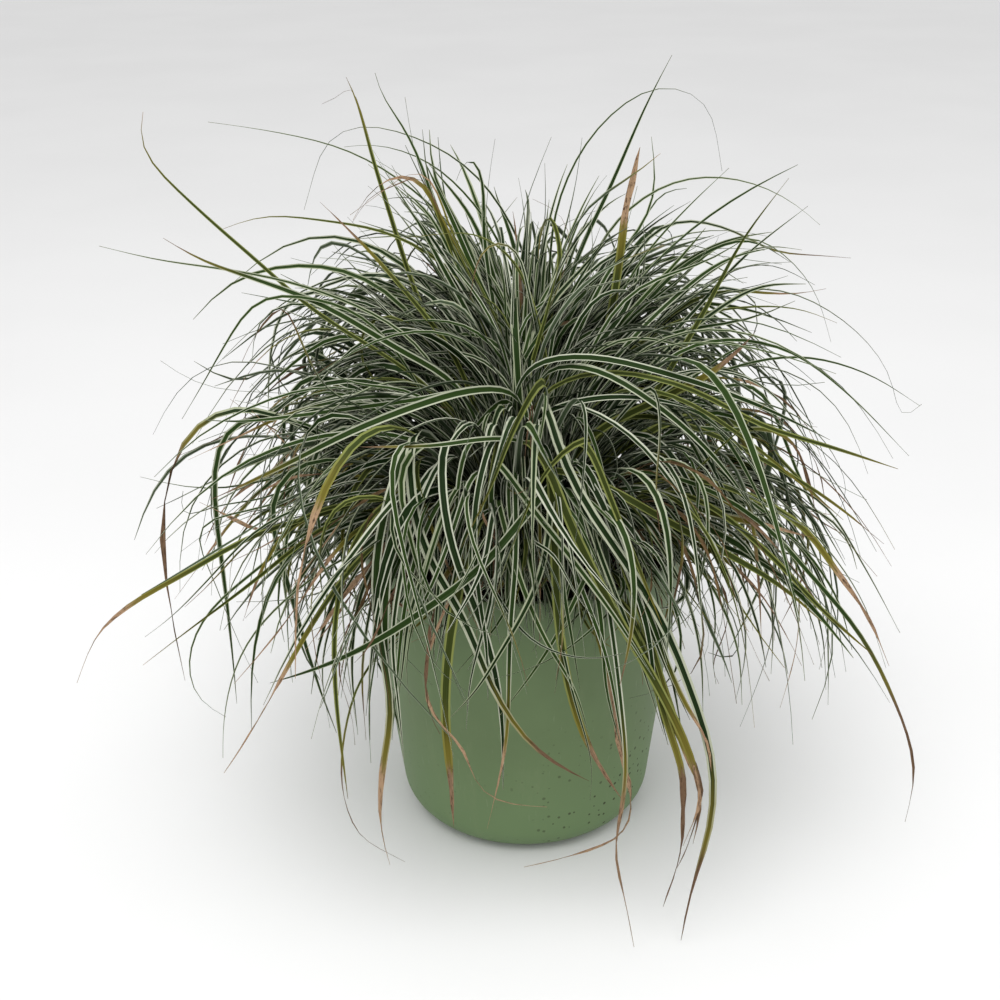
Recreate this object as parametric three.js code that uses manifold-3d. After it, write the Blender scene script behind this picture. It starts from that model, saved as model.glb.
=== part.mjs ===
// A white-edged sedge growing as one clump in a round nursery pot.
// Millimetres and degrees, +Z up. The origin is the middle of the pot's underside.
// The clump is five tufts. Each fills its own sector of the pot, and the narrow slots
// between the sectors hold the small bunches of dry leaves.

import * as THREE from 'three';
import { mergeVertices } from 'three/addons/utils/BufferGeometryUtils.js';
import Module from 'manifold-3d';

const wasm = await Module();
wasm.setup();

// Pot
const POT_HEIGHT = 182;
const RIM_RADIUS = 95;
const FOOT_RADIUS = 73.5; // where the straight wall would meet the ground
const FOOT_ROUNDING = 20;
const WALL = 1.8;
const LIP_HEIGHT = 5;
const LIP_PROUD = 1.4;
const POT_SIDES = 36;
const DRAINS = 6;
const DRAIN_RADIUS = 5;
const DRAIN_CIRCLE = 34;

// Soil
const CLEARANCE = 0.3; // between any two pieces that touch
const SOIL_TOP = POT_HEIGHT - 14;
const SOIL_RELIEF = 1.6;
const SOIL_WAVE = 15; // length of the waves in the soil
const SOIL_FADE = 8; // the relief fades in and out over this distance
const PLANTED_RADIUS = 52; // the soil is level inside this radius

// Stools, the short stocks that the blades grow from
const TUFT_SECTOR = 72;
const SLOT = 5.6; // width of the slot between two sectors
const STOOL_RADIUS = 40;
const STOOL_HEIGHT = 32;
const STOOL_SHOULDER = 15; // angle on the dome where its steep edge ends
const STOOL_SIDES = 20;
const STOCK_RADIUS = 9;
const STOCK_CIRCLE = 24; // the stocks stand on this circle round the pot's axis
const STOCK_DEPTH = 20;
const STOCK_SIDES = 12;
const STALK_RADIUS = 1.8;
const STALK_CIRCLE = 47;
const STALK_DEPTH = 14;
const STALK_RISE = 9;
const STALK_SIDES = 8;

// Blades
const BLADE_STEPS = 5;
const BLADE_THICKNESS = 0.7; // at the tip; the keel makes the rest thicker
const KEEL = 0.16; // depth of the keel for each millimetre of width
const SHEATHED = 0.35; // share of the full width at the root
const WIDEST_AT = 0.4; // share of the length where the full width is reached
const TAPER = 2.4; // the power that the blade narrows by along its length
const ROOT_SINK = 8;
const LOWEST_ROOT = 4; // above the soil
const BLADE_WIDTHS = [3.4, 6.4];
const LIFT_STRAY = 5;
const HEADING_STRAY = 3;
const SECTOR_EDGE = 2; // left free of headings at either side of a sector
const SWAY = 24; // most that a tip strays to both sides together
const SWAY_AT_ARCH = 0.3; // share of the sway that the arch already has
const BLADE_ROLL = 70; // most that blades turn about their length, to both sides together
const ROLL_AT_ROOT = 0.4;
const LEADER_ROLL = 0.1; // of the leader's own heading
const HANGS_FROM = 0.35; // share of the length where a blade may hang outside the pot
const HANG_CLEARANCE = 11; // from the rim to a blade that hangs outside the pot
const FLOOR_CLEARANCE = 4;
const GOLDEN_SHARE = (Math.sqrt(5) - 1) / 2;

const radians = THREE.MathUtils.degToRad;
const mix = THREE.MathUtils.lerp;
const UP = new THREE.Vector3(0, 0, 1);

// Each tuft has a heading, a number of blades placed by rule, the steepest and lowest angle that
// they rise at, the shortest and longest length, the least and most droop, and the added droop of
// the lowest blade. Leaders are the blades that stand out: the place where each arches, its tip,
// and its width.
const TUFTS = [
  {
    name: 'tuft_front', heading: -90, seed: 11, blades: 40,
    lifts: [84, 46], lengths: [200, 255], droops: [105, 138], sag: 0,
    leaders: [
      [[-35, -108, 217], [-41, -150, 82], 7.0],
      [[-6, -112, 216], [-23, -150, 77], 6.0],
      [[18, -108, 214], [32, -150, 98], 6.5],
      [[53, -120, 202], [76, -190, 36], 6.5],
      [[45, -130, 196], [50, -195, 38], 4.0],
      [[57, -115, 211], [90, -160, 101], 6.0],
      [[-65, -112, 220], [-79, -150, 65], 6.5],
      [[0, -95, 296], [-29, -150, 214], 6.5],
      [[38, -90, 256], [55, -140, 207], 5.5],
      [[17, -95, 253], [41, -150, 156], 5.5],
      [[-29, -90, 228], [-50, -140, 175], 5.0],
    ],
  },
  {
    name: 'tuft_right', heading: -18, seed: 23, blades: 46,
    lifts: [84, 22], lengths: [190, 280], droops: [55, 88], sag: 8,
    leaders: [
      [[108, -90, 220], [222, -72, 12], 5.5],
      [[107, -40, 238], [196, -60, 196], 6.0],
      [[110, -50, 300], [206, -46, 242], 5.5],
      [[72, -60, 282], [120, -62, 316], 6.5],
      [[92, -78, 296], [150, -112, 262], 6.0],
      [[120, -14, 300], [225, 0, 252], 4.0],
      [[104, -84, 226], [166, -120, 92], 5.5],
      [[82, -84, 232], [118, -124, 74], 6.0],
      [[92, -88, 218], [132, -128, 108], 5.0],
    ],
  },
  {
    name: 'tuft_back_right', heading: 54, seed: 37, blades: 48,
    lifts: [84, 26], lengths: [210, 300], droops: [34, 66], sag: 34,
    leaders: [
      [[46, 60, 350], [86, 90, 432], 6.0],
      [[44, 28, 292], [68, 60, 388], 6.5],
      [[52, 105, 386], [128, 150, 352], 3.6],
      [[104, 62, 320], [204, 110, 306], 5.0],
      [[60, 120, 300], [84, 205, 268], 5.5],
      [[96, 108, 262], [150, 178, 170], 5.5],
    ],
  },
  {
    name: 'tuft_back_left', heading: 126, seed: 41, blades: 48,
    lifts: [84, 26], lengths: [210, 300], droops: [34, 66], sag: 34,
    leaders: [
      [[-62, 50, 336], [-95, 78, 424], 6.5],
      [[-45, 62, 356], [-81, 100, 422], 5.5],
      [[-78, 70, 372], [-178, 96, 398], 3.4],
      [[-40, 118, 306], [-70, 212, 262], 5.5],
      [[-104, 96, 258], [-160, 160, 160], 5.5],
    ],
  },
  {
    name: 'tuft_left', heading: 198, seed: 59, blades: 46,
    lifts: [84, 26], lengths: [190, 280], droops: [52, 82], sag: 8,
    leaders: [
      [[-126, 4, 322], [-204, 34, 414], 5.0],
      [[-112, -20, 318], [-232, 10, 344], 5.0],
      [[-74, -60, 290], [-172, -64, 272], 6.5],
      [[-102, -80, 232], [-240, -100, 142], 6.0],
      [[-98, -104, 226], [-190, -122, 180], 4.5],
      [[-90, -112, 216], [-158, -142, 110], 6.0],
    ],
  },
];

// Each bunch of dry leaves has a heading and its shortest and longest leaf.
const DRY_BUNCHES = [
  { name: 'dry_leaves_front_right', heading: -54, seed: 71, lengths: [190, 250] },
  { name: 'dry_leaves_right', heading: 18, seed: 73, lengths: [120, 190] },
  { name: 'dry_leaves_back', heading: 90, seed: 79, lengths: [120, 190] },
  { name: 'dry_leaves_left', heading: 162, seed: 83, lengths: [120, 190] },
  { name: 'dry_leaves_front_left', heading: 234, seed: 89, lengths: [150, 210] },
];
const DRY_LEAVES = 3;
const DRY_WIDTHS = [2.4, 3.4];
const DRY_LIFTS = [28, 62];
const DRY_DROOPS = [70, 110];
const DRY_SINK = 3; // depth that the leaves are rooted in the stalk

// A repeatable draw between 0 and 1, from a linear congruential rule.
function chanceFrom(seed) {
  let state = seed;
  return () => {
    state = (Math.imul(state, 1664525) + 1013904223) >>> 0;
    return state / 4294967296;
  };
}

// A closed three.js geometry as a solid that can be joined and cut.
function solidOf(geometry) {
  geometry.deleteAttribute('normal');
  geometry.deleteAttribute('uv');
  const merged = mergeVertices(geometry, 1e-4);
  return new wasm.Manifold(new wasm.Mesh({
    numProp: 3,
    vertProperties: new Float32Array(merged.attributes.position.array),
    triVerts: new Uint32Array(merged.index.array),
  }));
}

// The outer shell of a joined solid: sealed hollows are filled and loose scraps dropped.
function largestBody(solid) {
  const bodies = solid.decompose();
  return bodies.reduce((kept, body) => (body.volume() > kept.volume() ? body : kept));
}

function meshOf(name, solid, material) {
  const { numProp, vertProperties, triVerts } = solid.getMesh();
  const geometry = new THREE.BufferGeometry();
  geometry.setAttribute('position', new THREE.BufferAttribute(vertProperties, numProp));
  geometry.setIndex(new THREE.BufferAttribute(triVerts, 1));
  geometry.computeVertexNormals();
  const mesh = new THREE.Mesh(geometry, material);
  mesh.name = name;
  return mesh;
}

// Points of a quarter round from a start angle to an end angle, about a middle point.
function roundCorner(middle, radius, from, to, steps) {
  return Array.from({ length: steps + 1 }, (_, i) => {
    const angle = radians(mix(from, to, i / steps));
    return new THREE.Vector2(middle.x + radius * Math.cos(angle), middle.y + radius * Math.sin(angle));
  });
}

// Outline of the pot's shell, moved inwards by an inset, from the axis out and up to a height.
function wallOutline(inset, top) {
  const lean = Math.atan2(RIM_RADIUS - FOOT_RADIUS, POT_HEIGHT);
  const rounding = FOOT_ROUNDING - inset;
  const wallAt = (height) => FOOT_RADIUS - inset / Math.cos(lean) + height * Math.tan(lean);
  const middle = new THREE.Vector2(wallAt(FOOT_ROUNDING) - rounding / Math.cos(lean), FOOT_ROUNDING);
  return [
    new THREE.Vector2(0, inset),
    ...roundCorner(middle, rounding, -90, -THREE.MathUtils.radToDeg(lean), 4),
    new THREE.Vector2(wallAt(top), top),
  ];
}

function turned(points, sides) {
  return new THREE.LatheGeometry(points, sides).rotateX(Math.PI / 2);
}

// An upright cylinder that stands from one height to another.
function post(radius, from, to, sides) {
  return new THREE.CylinderGeometry(radius, radius, to - from, sides)
    .rotateX(Math.PI / 2)
    .translate(0, 0, (from + to) / 2);
}

function atHeading(geometry, heading, reach) {
  return geometry.translate(reach, 0, 0).rotateZ(radians(heading));
}

function potSolid() {
  const lipFoot = POT_HEIGHT - LIP_HEIGHT;
  const outside = wallOutline(0, lipFoot);
  const inside = wallOutline(WALL, POT_HEIGHT).reverse();
  const lip = [
    new THREE.Vector2(RIM_RADIUS + LIP_PROUD, lipFoot + LIP_PROUD / 2),
    new THREE.Vector2(RIM_RADIUS + LIP_PROUD, POT_HEIGHT - LIP_PROUD / 2),
    new THREE.Vector2(RIM_RADIUS, POT_HEIGHT),
  ];
  let pot = solidOf(turned([...outside, ...lip, ...inside], POT_SIDES));
  for (let i = 0; i < DRAINS; i += 1) {
    const drain = post(DRAIN_RADIUS, -WALL, 2 * WALL, 12);
    pot = pot.subtract(solidOf(atHeading(drain, (360 / DRAINS) * i, DRAIN_CIRCLE)));
  }
  return pot;
}

// Crumbly relief of the soil: crossed waves, fading out to nothing where the stools stand
// and where the soil meets the wall.
function soilRelief(x, y, edge) {
  const reach = Math.hypot(x, y);
  const fade = THREE.MathUtils.smoothstep(reach, PLANTED_RADIUS, PLANTED_RADIUS + SOIL_FADE)
    * (1 - THREE.MathUtils.smoothstep(reach, edge - SOIL_FADE, edge));
  const turn = (2 * Math.PI) / SOIL_WAVE;
  return SOIL_RELIEF * fade * (Math.sin(turn * x) * Math.cos(turn * y) + Math.sin((turn * (x - y)) / 2));
}

// A plain round hole down from the top of the soil.
function holeSolid(radius, depth, sides, heading, reach) {
  const hole = post(radius + CLEARANCE, SOIL_TOP - depth - CLEARANCE, SOIL_TOP + depth, sides);
  return solidOf(atHeading(hole, heading, reach));
}

function soilSolid() {
  const outline = wallOutline(WALL + CLEARANCE, SOIL_TOP);
  const edge = outline[outline.length - 1].x;
  const rings = [1, 2, 3].map((ring) => new THREE.Vector2(mix(edge, PLANTED_RADIUS, ring / 3), SOIL_TOP));
  const top = [...rings, new THREE.Vector2(0, SOIL_TOP)];
  const geometry = turned([...outline, ...top], POT_SIDES);
  const place = geometry.attributes.position;
  for (let i = 0; i < place.count; i += 1) {
    if (place.getZ(i) > SOIL_TOP - 1) {
      place.setZ(i, place.getZ(i) + soilRelief(place.getX(i), place.getY(i), edge));
    }
  }
  let soil = solidOf(geometry);
  for (const tuft of TUFTS) {
    soil = soil.subtract(holeSolid(STOCK_RADIUS, STOCK_DEPTH, STOCK_SIDES, tuft.heading, STOCK_CIRCLE));
  }
  for (const bunch of DRY_BUNCHES) {
    soil = soil.subtract(holeSolid(STALK_RADIUS, STALK_DEPTH, STALK_SIDES, bunch.heading, STALK_CIRCLE));
  }
  return soil;
}

// A point moved sideways until something of the given half width stays inside the sector.
function keptInSector(point, heading, sector, halfWidth) {
  const half = radians(sector / 2);
  const room = halfWidth + CLEARANCE;
  const reach = Math.max(Math.hypot(point.x, point.y), room / Math.sin(half));
  const limit = half - Math.asin(room / reach);
  const facing = radians(heading);
  const turn = Math.atan2(point.y, point.x) - facing;
  const wrapped = Math.atan2(Math.sin(turn), Math.cos(turn));
  const angle = facing + THREE.MathUtils.clamp(wrapped, -limit, limit);
  return new THREE.Vector3(reach * Math.cos(angle), reach * Math.sin(angle), point.z);
}

// A point of a hanging blade moved out until it clears the pot, and up until it clears the ground.
function keptClearOfPot(point) {
  const clear = point.clone();
  clear.z = Math.max(clear.z, FLOOR_CLEARANCE);
  const reach = Math.hypot(clear.x, clear.y);
  const needed = RIM_RADIUS + HANG_CLEARANCE;
  if (clear.z < POT_HEIGHT + HANG_CLEARANCE && reach < needed) {
    clear.x *= needed / reach;
    clear.y *= needed / reach;
  }
  return clear;
}

// Width of a blade along its length: narrow in its sheath, then full, then a long taper.
function widthAt(along, width) {
  const swell = mix(SHEATHED, 1, THREE.MathUtils.smoothstep(along, 0, WIDEST_AT));
  return width * swell * (1 - along ** TAPER);
}

// A blade is a three-sided spike bent along the arc through its root, arch and tip. Its flat side
// faces up and its keel points down.
function bladeSolid({ root, arch, tip, width, roll }, sector) {
  const bend = arch.clone().multiplyScalar(2).addScaledVector(root, -0.5).addScaledVector(tip, -0.5);
  const arc = new THREE.QuadraticBezierCurve3(root, bend, tip);
  const middles = Array.from({ length: BLADE_STEPS + 1 }, (_, i) => {
    const along = i / BLADE_STEPS;
    const halfWidth = widthAt(along, width) / 2;
    const free = arc.getPoint(along);
    const hung = along > HANGS_FROM ? keptClearOfPot(free) : free;
    return keptInSector(hung, sector.heading, sector.width, halfWidth);
  });
  const away = new THREE.Vector3().subVectors(tip, root).setZ(0).normalize();
  const level = new THREE.Vector3().crossVectors(UP, away);
  const spike = new THREE.ConeGeometry(1, 1, 3, BLADE_STEPS);
  const place = spike.attributes.position;
  const corner = new THREE.Vector3();
  for (let i = 0; i < place.count; i += 1) {
    corner.fromBufferAttribute(place, i);
    const along = corner.y + 0.5;
    const step = Math.round(along * BLADE_STEPS);
    const before = middles[Math.max(step - 1, 0)];
    const after = middles[Math.min(step + 1, BLADE_STEPS)];
    const forward = new THREE.Vector3().subVectors(after, before).normalize();
    const side = level.clone().addScaledVector(forward, -level.dot(forward)).normalize();
    side.applyAxisAngle(forward, radians(roll * (ROLL_AT_ROOT + along)));
    const face = new THREE.Vector3().crossVectors(forward, side);
    const wide = widthAt(along, width);
    const unit = step < BLADE_STEPS ? 1 / (1 - along) : 0;
    const across = ((corner.x * unit) / Math.sqrt(3)) * wide;
    const down = ((corner.z * unit + 0.5) / 1.5) * (BLADE_THICKNESS + KEEL * wide);
    corner.copy(middles[step]).addScaledVector(side, across).addScaledVector(face, -down);
    place.setXYZ(i, corner.x, corner.y, corner.z);
  }
  return solidOf(spike);
}

// The angle that a blade rises at, spread evenly over the sky from the steepest to the lowest.
function liftOf([steepest, lowest], share) {
  const height = mix(Math.sin(radians(steepest)), Math.sin(radians(lowest)), share);
  return THREE.MathUtils.radToDeg(Math.asin(height));
}

function outwards(heading) {
  return new THREE.Vector3(Math.cos(radians(heading)), Math.sin(radians(heading)), 0);
}

// One half of a blade as a straight line: outwards and up at an angle.
function chord(away, angle, length) {
  return away.clone().multiplyScalar(length * Math.cos(radians(angle)))
    .addScaledVector(UP, length * Math.sin(radians(angle)));
}

// Where a blade starts inside the stool: near the axis for a steep blade, far out for a low one.
function rootOn(heading, share) {
  const out = (STOOL_RADIUS - ROOT_SINK) * Math.sqrt(share);
  const up = (STOOL_HEIGHT - ROOT_SINK) * Math.sqrt(1 - share);
  return outwards(heading).multiplyScalar(out).setZ(SOIL_TOP + Math.max(up, LOWEST_ROOT));
}

// A blade placed by rule. Its inner half rises at one angle and its outer half falls away at
// another; share runs from 0 for the steepest blade of the tuft to 1 for the lowest.
function ruledBlade(tuft, index, chance) {
  const share = (index + 0.5) / tuft.blades;
  const golden = (index * GOLDEN_SHARE) % 1;
  const lift = liftOf(tuft.lifts, share) + LIFT_STRAY * (chance() - 0.5);
  const fan = (TUFT_SECTOR - 2 * SECTOR_EDGE) * (golden - 0.5);
  const heading = tuft.heading + fan + HEADING_STRAY * (chance() - 0.5);
  const half = mix(...tuft.lengths, chance()) / 2;
  const fall = lift - mix(...tuft.droops, chance()) - tuft.sag * share;
  const root = rootOn(heading, share);
  const away = outwards(heading);
  const aside = new THREE.Vector3().crossVectors(UP, away).multiplyScalar(SWAY * (chance() - 0.5));
  const arch = root.clone().add(chord(away, lift, half)).addScaledVector(aside, SWAY_AT_ARCH);
  const tip = arch.clone().add(chord(away, fall, half)).addScaledVector(aside, 1 - SWAY_AT_ARCH);
  const width = mix(...BLADE_WIDTHS, chance());
  return { root, arch, tip, width, roll: BLADE_ROLL * (chance() - 0.5) };
}

// A blade that stands out, given by its arch, tip and width.
function leadingBlade([archPlace, tipPlace, width]) {
  const arch = new THREE.Vector3(...archPlace);
  const tip = new THREE.Vector3(...tipPlace);
  const heading = THREE.MathUtils.radToDeg(Math.atan2(arch.y, arch.x));
  const reach = Math.hypot(arch.x, arch.y);
  const root = rootOn(heading, reach / (reach + arch.z - SOIL_TOP));
  return { root, arch, tip, width, roll: LEADER_ROLL * heading };
}

// The part of the round stool that lies in one sector, with its stock below.
function stoolSolid(tuft) {
  const shoulder = roundCorner(new THREE.Vector2(0, 0), 1, STOOL_SHOULDER, 90, 3).slice(0, -1)
    .map((point) => new THREE.Vector2(STOOL_RADIUS * point.x, SOIL_TOP + STOOL_HEIGHT * point.y));
  const profile = [
    new THREE.Vector2(0, SOIL_TOP + CLEARANCE),
    new THREE.Vector2(STOOL_RADIUS, SOIL_TOP + CLEARANCE),
    ...shoulder,
    new THREE.Vector2(0, SOIL_TOP + STOOL_HEIGHT),
  ];
  const dome = solidOf(turned(profile, STOOL_SIDES));
  const half = radians((TUFT_SECTOR - SLOT) / 2);
  const far = 2 * STOOL_RADIUS;
  const near = CLEARANCE / Math.sin(half);
  const outline = new THREE.Shape([
    new THREE.Vector2(near, 0),
    new THREE.Vector2(near + far * Math.cos(half), -far * Math.sin(half)),
    new THREE.Vector2(near + far * Math.cos(half), far * Math.sin(half)),
  ]);
  const sector = new THREE.ExtrudeGeometry(outline, { depth: 2 * STOOL_HEIGHT, bevelEnabled: false })
    .translate(0, 0, SOIL_TOP);
  const stock = post(STOCK_RADIUS, SOIL_TOP - STOCK_DEPTH, SOIL_TOP + STOOL_HEIGHT / 3, STOCK_SIDES);
  return dome
    .intersect(solidOf(atHeading(sector, tuft.heading, 0)))
    .add(solidOf(atHeading(stock, tuft.heading, STOCK_CIRCLE)));
}

function tuftSolid(tuft) {
  const chance = chanceFrom(tuft.seed);
  const sector = { heading: tuft.heading, width: TUFT_SECTOR - SLOT };
  const ruled = Array.from({ length: tuft.blades }, (_, index) => ruledBlade(tuft, index, chance));
  const blades = [...tuft.leaders.map(leadingBlade), ...ruled];
  const joined = blades.reduce((solid, blade) => solid.add(bladeSolid(blade, sector)), stoolSolid(tuft));
  return largestBody(joined);
}

// Dry leaves spring from the top of one thin stalk and hang over the rim.
function dryBunchSolid(bunch) {
  const chance = chanceFrom(bunch.seed);
  const sector = { heading: bunch.heading, width: SLOT };
  const away = outwards(bunch.heading);
  const root = away.clone().multiplyScalar(STALK_CIRCLE).setZ(SOIL_TOP + STALK_RISE - DRY_SINK);
  const stalk = post(STALK_RADIUS, SOIL_TOP - STALK_DEPTH, SOIL_TOP + STALK_RISE, STALK_SIDES);
  let joined = solidOf(atHeading(stalk, bunch.heading, STALK_CIRCLE));
  for (let i = 0; i < DRY_LEAVES; i += 1) {
    const half = mix(...bunch.lengths, chance()) / 2;
    const lift = mix(...DRY_LIFTS, i / DRY_LEAVES);
    const fall = lift - mix(...DRY_DROOPS, chance());
    const arch = root.clone().add(chord(away, lift, half));
    const tip = arch.clone().add(chord(away, fall, half));
    const width = mix(...DRY_WIDTHS, chance());
    joined = joined.add(bladeSolid({ root, arch, tip, width, roll: 0 }, sector));
  }
  return largestBody(joined);
}

function plasticMaterial() {
  return new THREE.MeshStandardMaterial({ color: 0x6f8a62, roughness: 0.55, metalness: 0 });
}

function soilMaterial() {
  return new THREE.MeshStandardMaterial({ color: 0x2c211a, roughness: 1, metalness: 0 });
}

function leafMaterial() {
  return new THREE.MeshStandardMaterial({ color: 0x7c8a63, roughness: 0.5, metalness: 0 });
}

function dryMaterial() {
  return new THREE.MeshStandardMaterial({ color: 0x8f6d47, roughness: 0.8, metalness: 0 });
}

const plant = new THREE.Group();
plant.add(meshOf('pot', potSolid(), plasticMaterial()));
plant.add(meshOf('soil', soilSolid(), soilMaterial()));
for (const tuft of TUFTS) {
  plant.add(meshOf(tuft.name, tuftSolid(tuft), leafMaterial()));
}
for (const bunch of DRY_BUNCHES) {
  plant.add(meshOf(bunch.name, dryBunchSolid(bunch), dryMaterial()));
}

export default plant;
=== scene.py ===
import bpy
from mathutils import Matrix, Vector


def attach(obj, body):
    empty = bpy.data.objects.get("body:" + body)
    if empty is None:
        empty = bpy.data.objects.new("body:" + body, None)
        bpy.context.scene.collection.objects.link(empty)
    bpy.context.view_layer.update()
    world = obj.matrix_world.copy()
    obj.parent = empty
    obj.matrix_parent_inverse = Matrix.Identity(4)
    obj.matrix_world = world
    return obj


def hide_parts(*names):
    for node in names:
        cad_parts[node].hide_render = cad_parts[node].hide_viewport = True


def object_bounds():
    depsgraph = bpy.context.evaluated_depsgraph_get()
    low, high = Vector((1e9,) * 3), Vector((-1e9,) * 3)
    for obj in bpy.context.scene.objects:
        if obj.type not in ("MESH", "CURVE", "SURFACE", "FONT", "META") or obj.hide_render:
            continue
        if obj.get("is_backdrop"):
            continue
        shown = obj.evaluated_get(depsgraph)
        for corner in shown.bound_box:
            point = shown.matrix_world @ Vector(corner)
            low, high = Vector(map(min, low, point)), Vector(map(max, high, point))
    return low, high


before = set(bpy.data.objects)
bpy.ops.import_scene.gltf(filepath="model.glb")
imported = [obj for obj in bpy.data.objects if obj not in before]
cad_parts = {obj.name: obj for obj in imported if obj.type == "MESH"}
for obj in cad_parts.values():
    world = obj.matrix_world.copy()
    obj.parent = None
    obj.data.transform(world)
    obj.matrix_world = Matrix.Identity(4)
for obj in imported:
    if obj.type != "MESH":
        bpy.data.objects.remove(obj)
packed_low, packed_high = (list(corner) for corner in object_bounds())

import math

import bpy
import numpy as np
from mathutils import Matrix, Vector

# ---- Camera ------------------------------------------------------------------------------------
# It stands 900 mm from the plant and looks down at 25 degrees, to a point just above the middle of
# the pot's rim. It leans slightly to one side.

MM = 0.001
RIM_HEIGHT = 182
CAMERA_LIFT = math.radians(25)
CAMERA_REACH = 900
CAMERA_ASIDE = -13.4
CAMERA_RAISED = 14.0
CAMERA_LEAN = math.radians(0.9)
FOCAL_LENGTH = 55.584
SENSOR = 36
FRAME_WIDTH = 1000
NEAREST, FARTHEST = 0.05, 60


def placed(name, data):
    """A new object of the scene that holds the data."""
    made = bpy.data.objects.new(name, data)
    bpy.context.scene.collection.objects.link(made)
    return made


view_ahead = np.array([0, math.cos(CAMERA_LIFT), -math.sin(CAMERA_LIFT)])
view_above = np.array([0, math.sin(CAMERA_LIFT), math.cos(CAMERA_LIFT)])
eye = np.array([CAMERA_ASIDE, 0, RIM_HEIGHT]) + CAMERA_RAISED * view_above - CAMERA_REACH * view_ahead

camera_data = bpy.data.cameras.new("camera")
camera_data.sensor_width = SENSOR
camera_data.lens = FOCAL_LENGTH
camera_data.clip_start, camera_data.clip_end = NEAREST, FARTHEST
camera = placed("camera", camera_data)
camera.location = eye * MM
level_view = Vector(view_ahead).to_track_quat("-Z", "Y").to_matrix().to_4x4()
camera.rotation_euler = (level_view @ Matrix.Rotation(-CAMERA_LEAN, 4, "Z")).to_euler()
bpy.context.scene.camera = camera


def seen(sights):
    """Points (mm) from sights (across, down, forward): where a point is seen in the frame, and how
    far in front of the pot's axis it lies. Each is where the line of sight meets that plane."""
    across, down, forward = np.array(sights, float).T
    lens = FOCAL_LENGTH / SENSOR * FRAME_WIDTH
    x, y = (across - FRAME_WIDTH / 2) / lens, (FRAME_WIDTH / 2 - down) / lens
    cos, sin = math.cos(CAMERA_LEAN), math.sin(CAMERA_LEAN)
    right, up = x * cos + y * sin, y * cos - x * sin
    ray = np.outer(right, [1, 0, 0]) + np.outer(up, view_above) + view_ahead
    return eye + ray * ((-forward - eye[1]) / ray[:, 1])[:, None]


# ---- Pot ---------------------------------------------------------------------------------------
# One nursery pot, injection moulded in matte light green plastic. The wall tapers down to a
# rounded foot, a narrow lip stiffens the rim, and six drain holes go through the floor.

POT_HEIGHT = RIM_HEIGHT
RIM_RADIUS = 95
FOOT_RADIUS = 73.5
FOOT_ROUNDING = 20
FOOT_STEPS = 10
WALL = 1.8
WALL_STARTS = 12
WALL_STEPS = 6
LIP_HEIGHT = 5
LIP_PROUD = 1.4
LIP_ROUNDING = 0.6
LIP_UNDERSIDE = 0.2
LIP_CORNER = 0.9
EDGE_ROUNDING = 0.5
EDGE_INSET = 1.1
EDGE_DEPTH = 1.2
POT_TURNS = 168
DRAINS = 6
DRAIN_RADIUS = 5
DRAIN_CIRCLE = 34
DRAIN_TURNS = 24
DRAIN_SPAN = (-4, 6)
MOULD_SHARP = math.radians(38)


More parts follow.
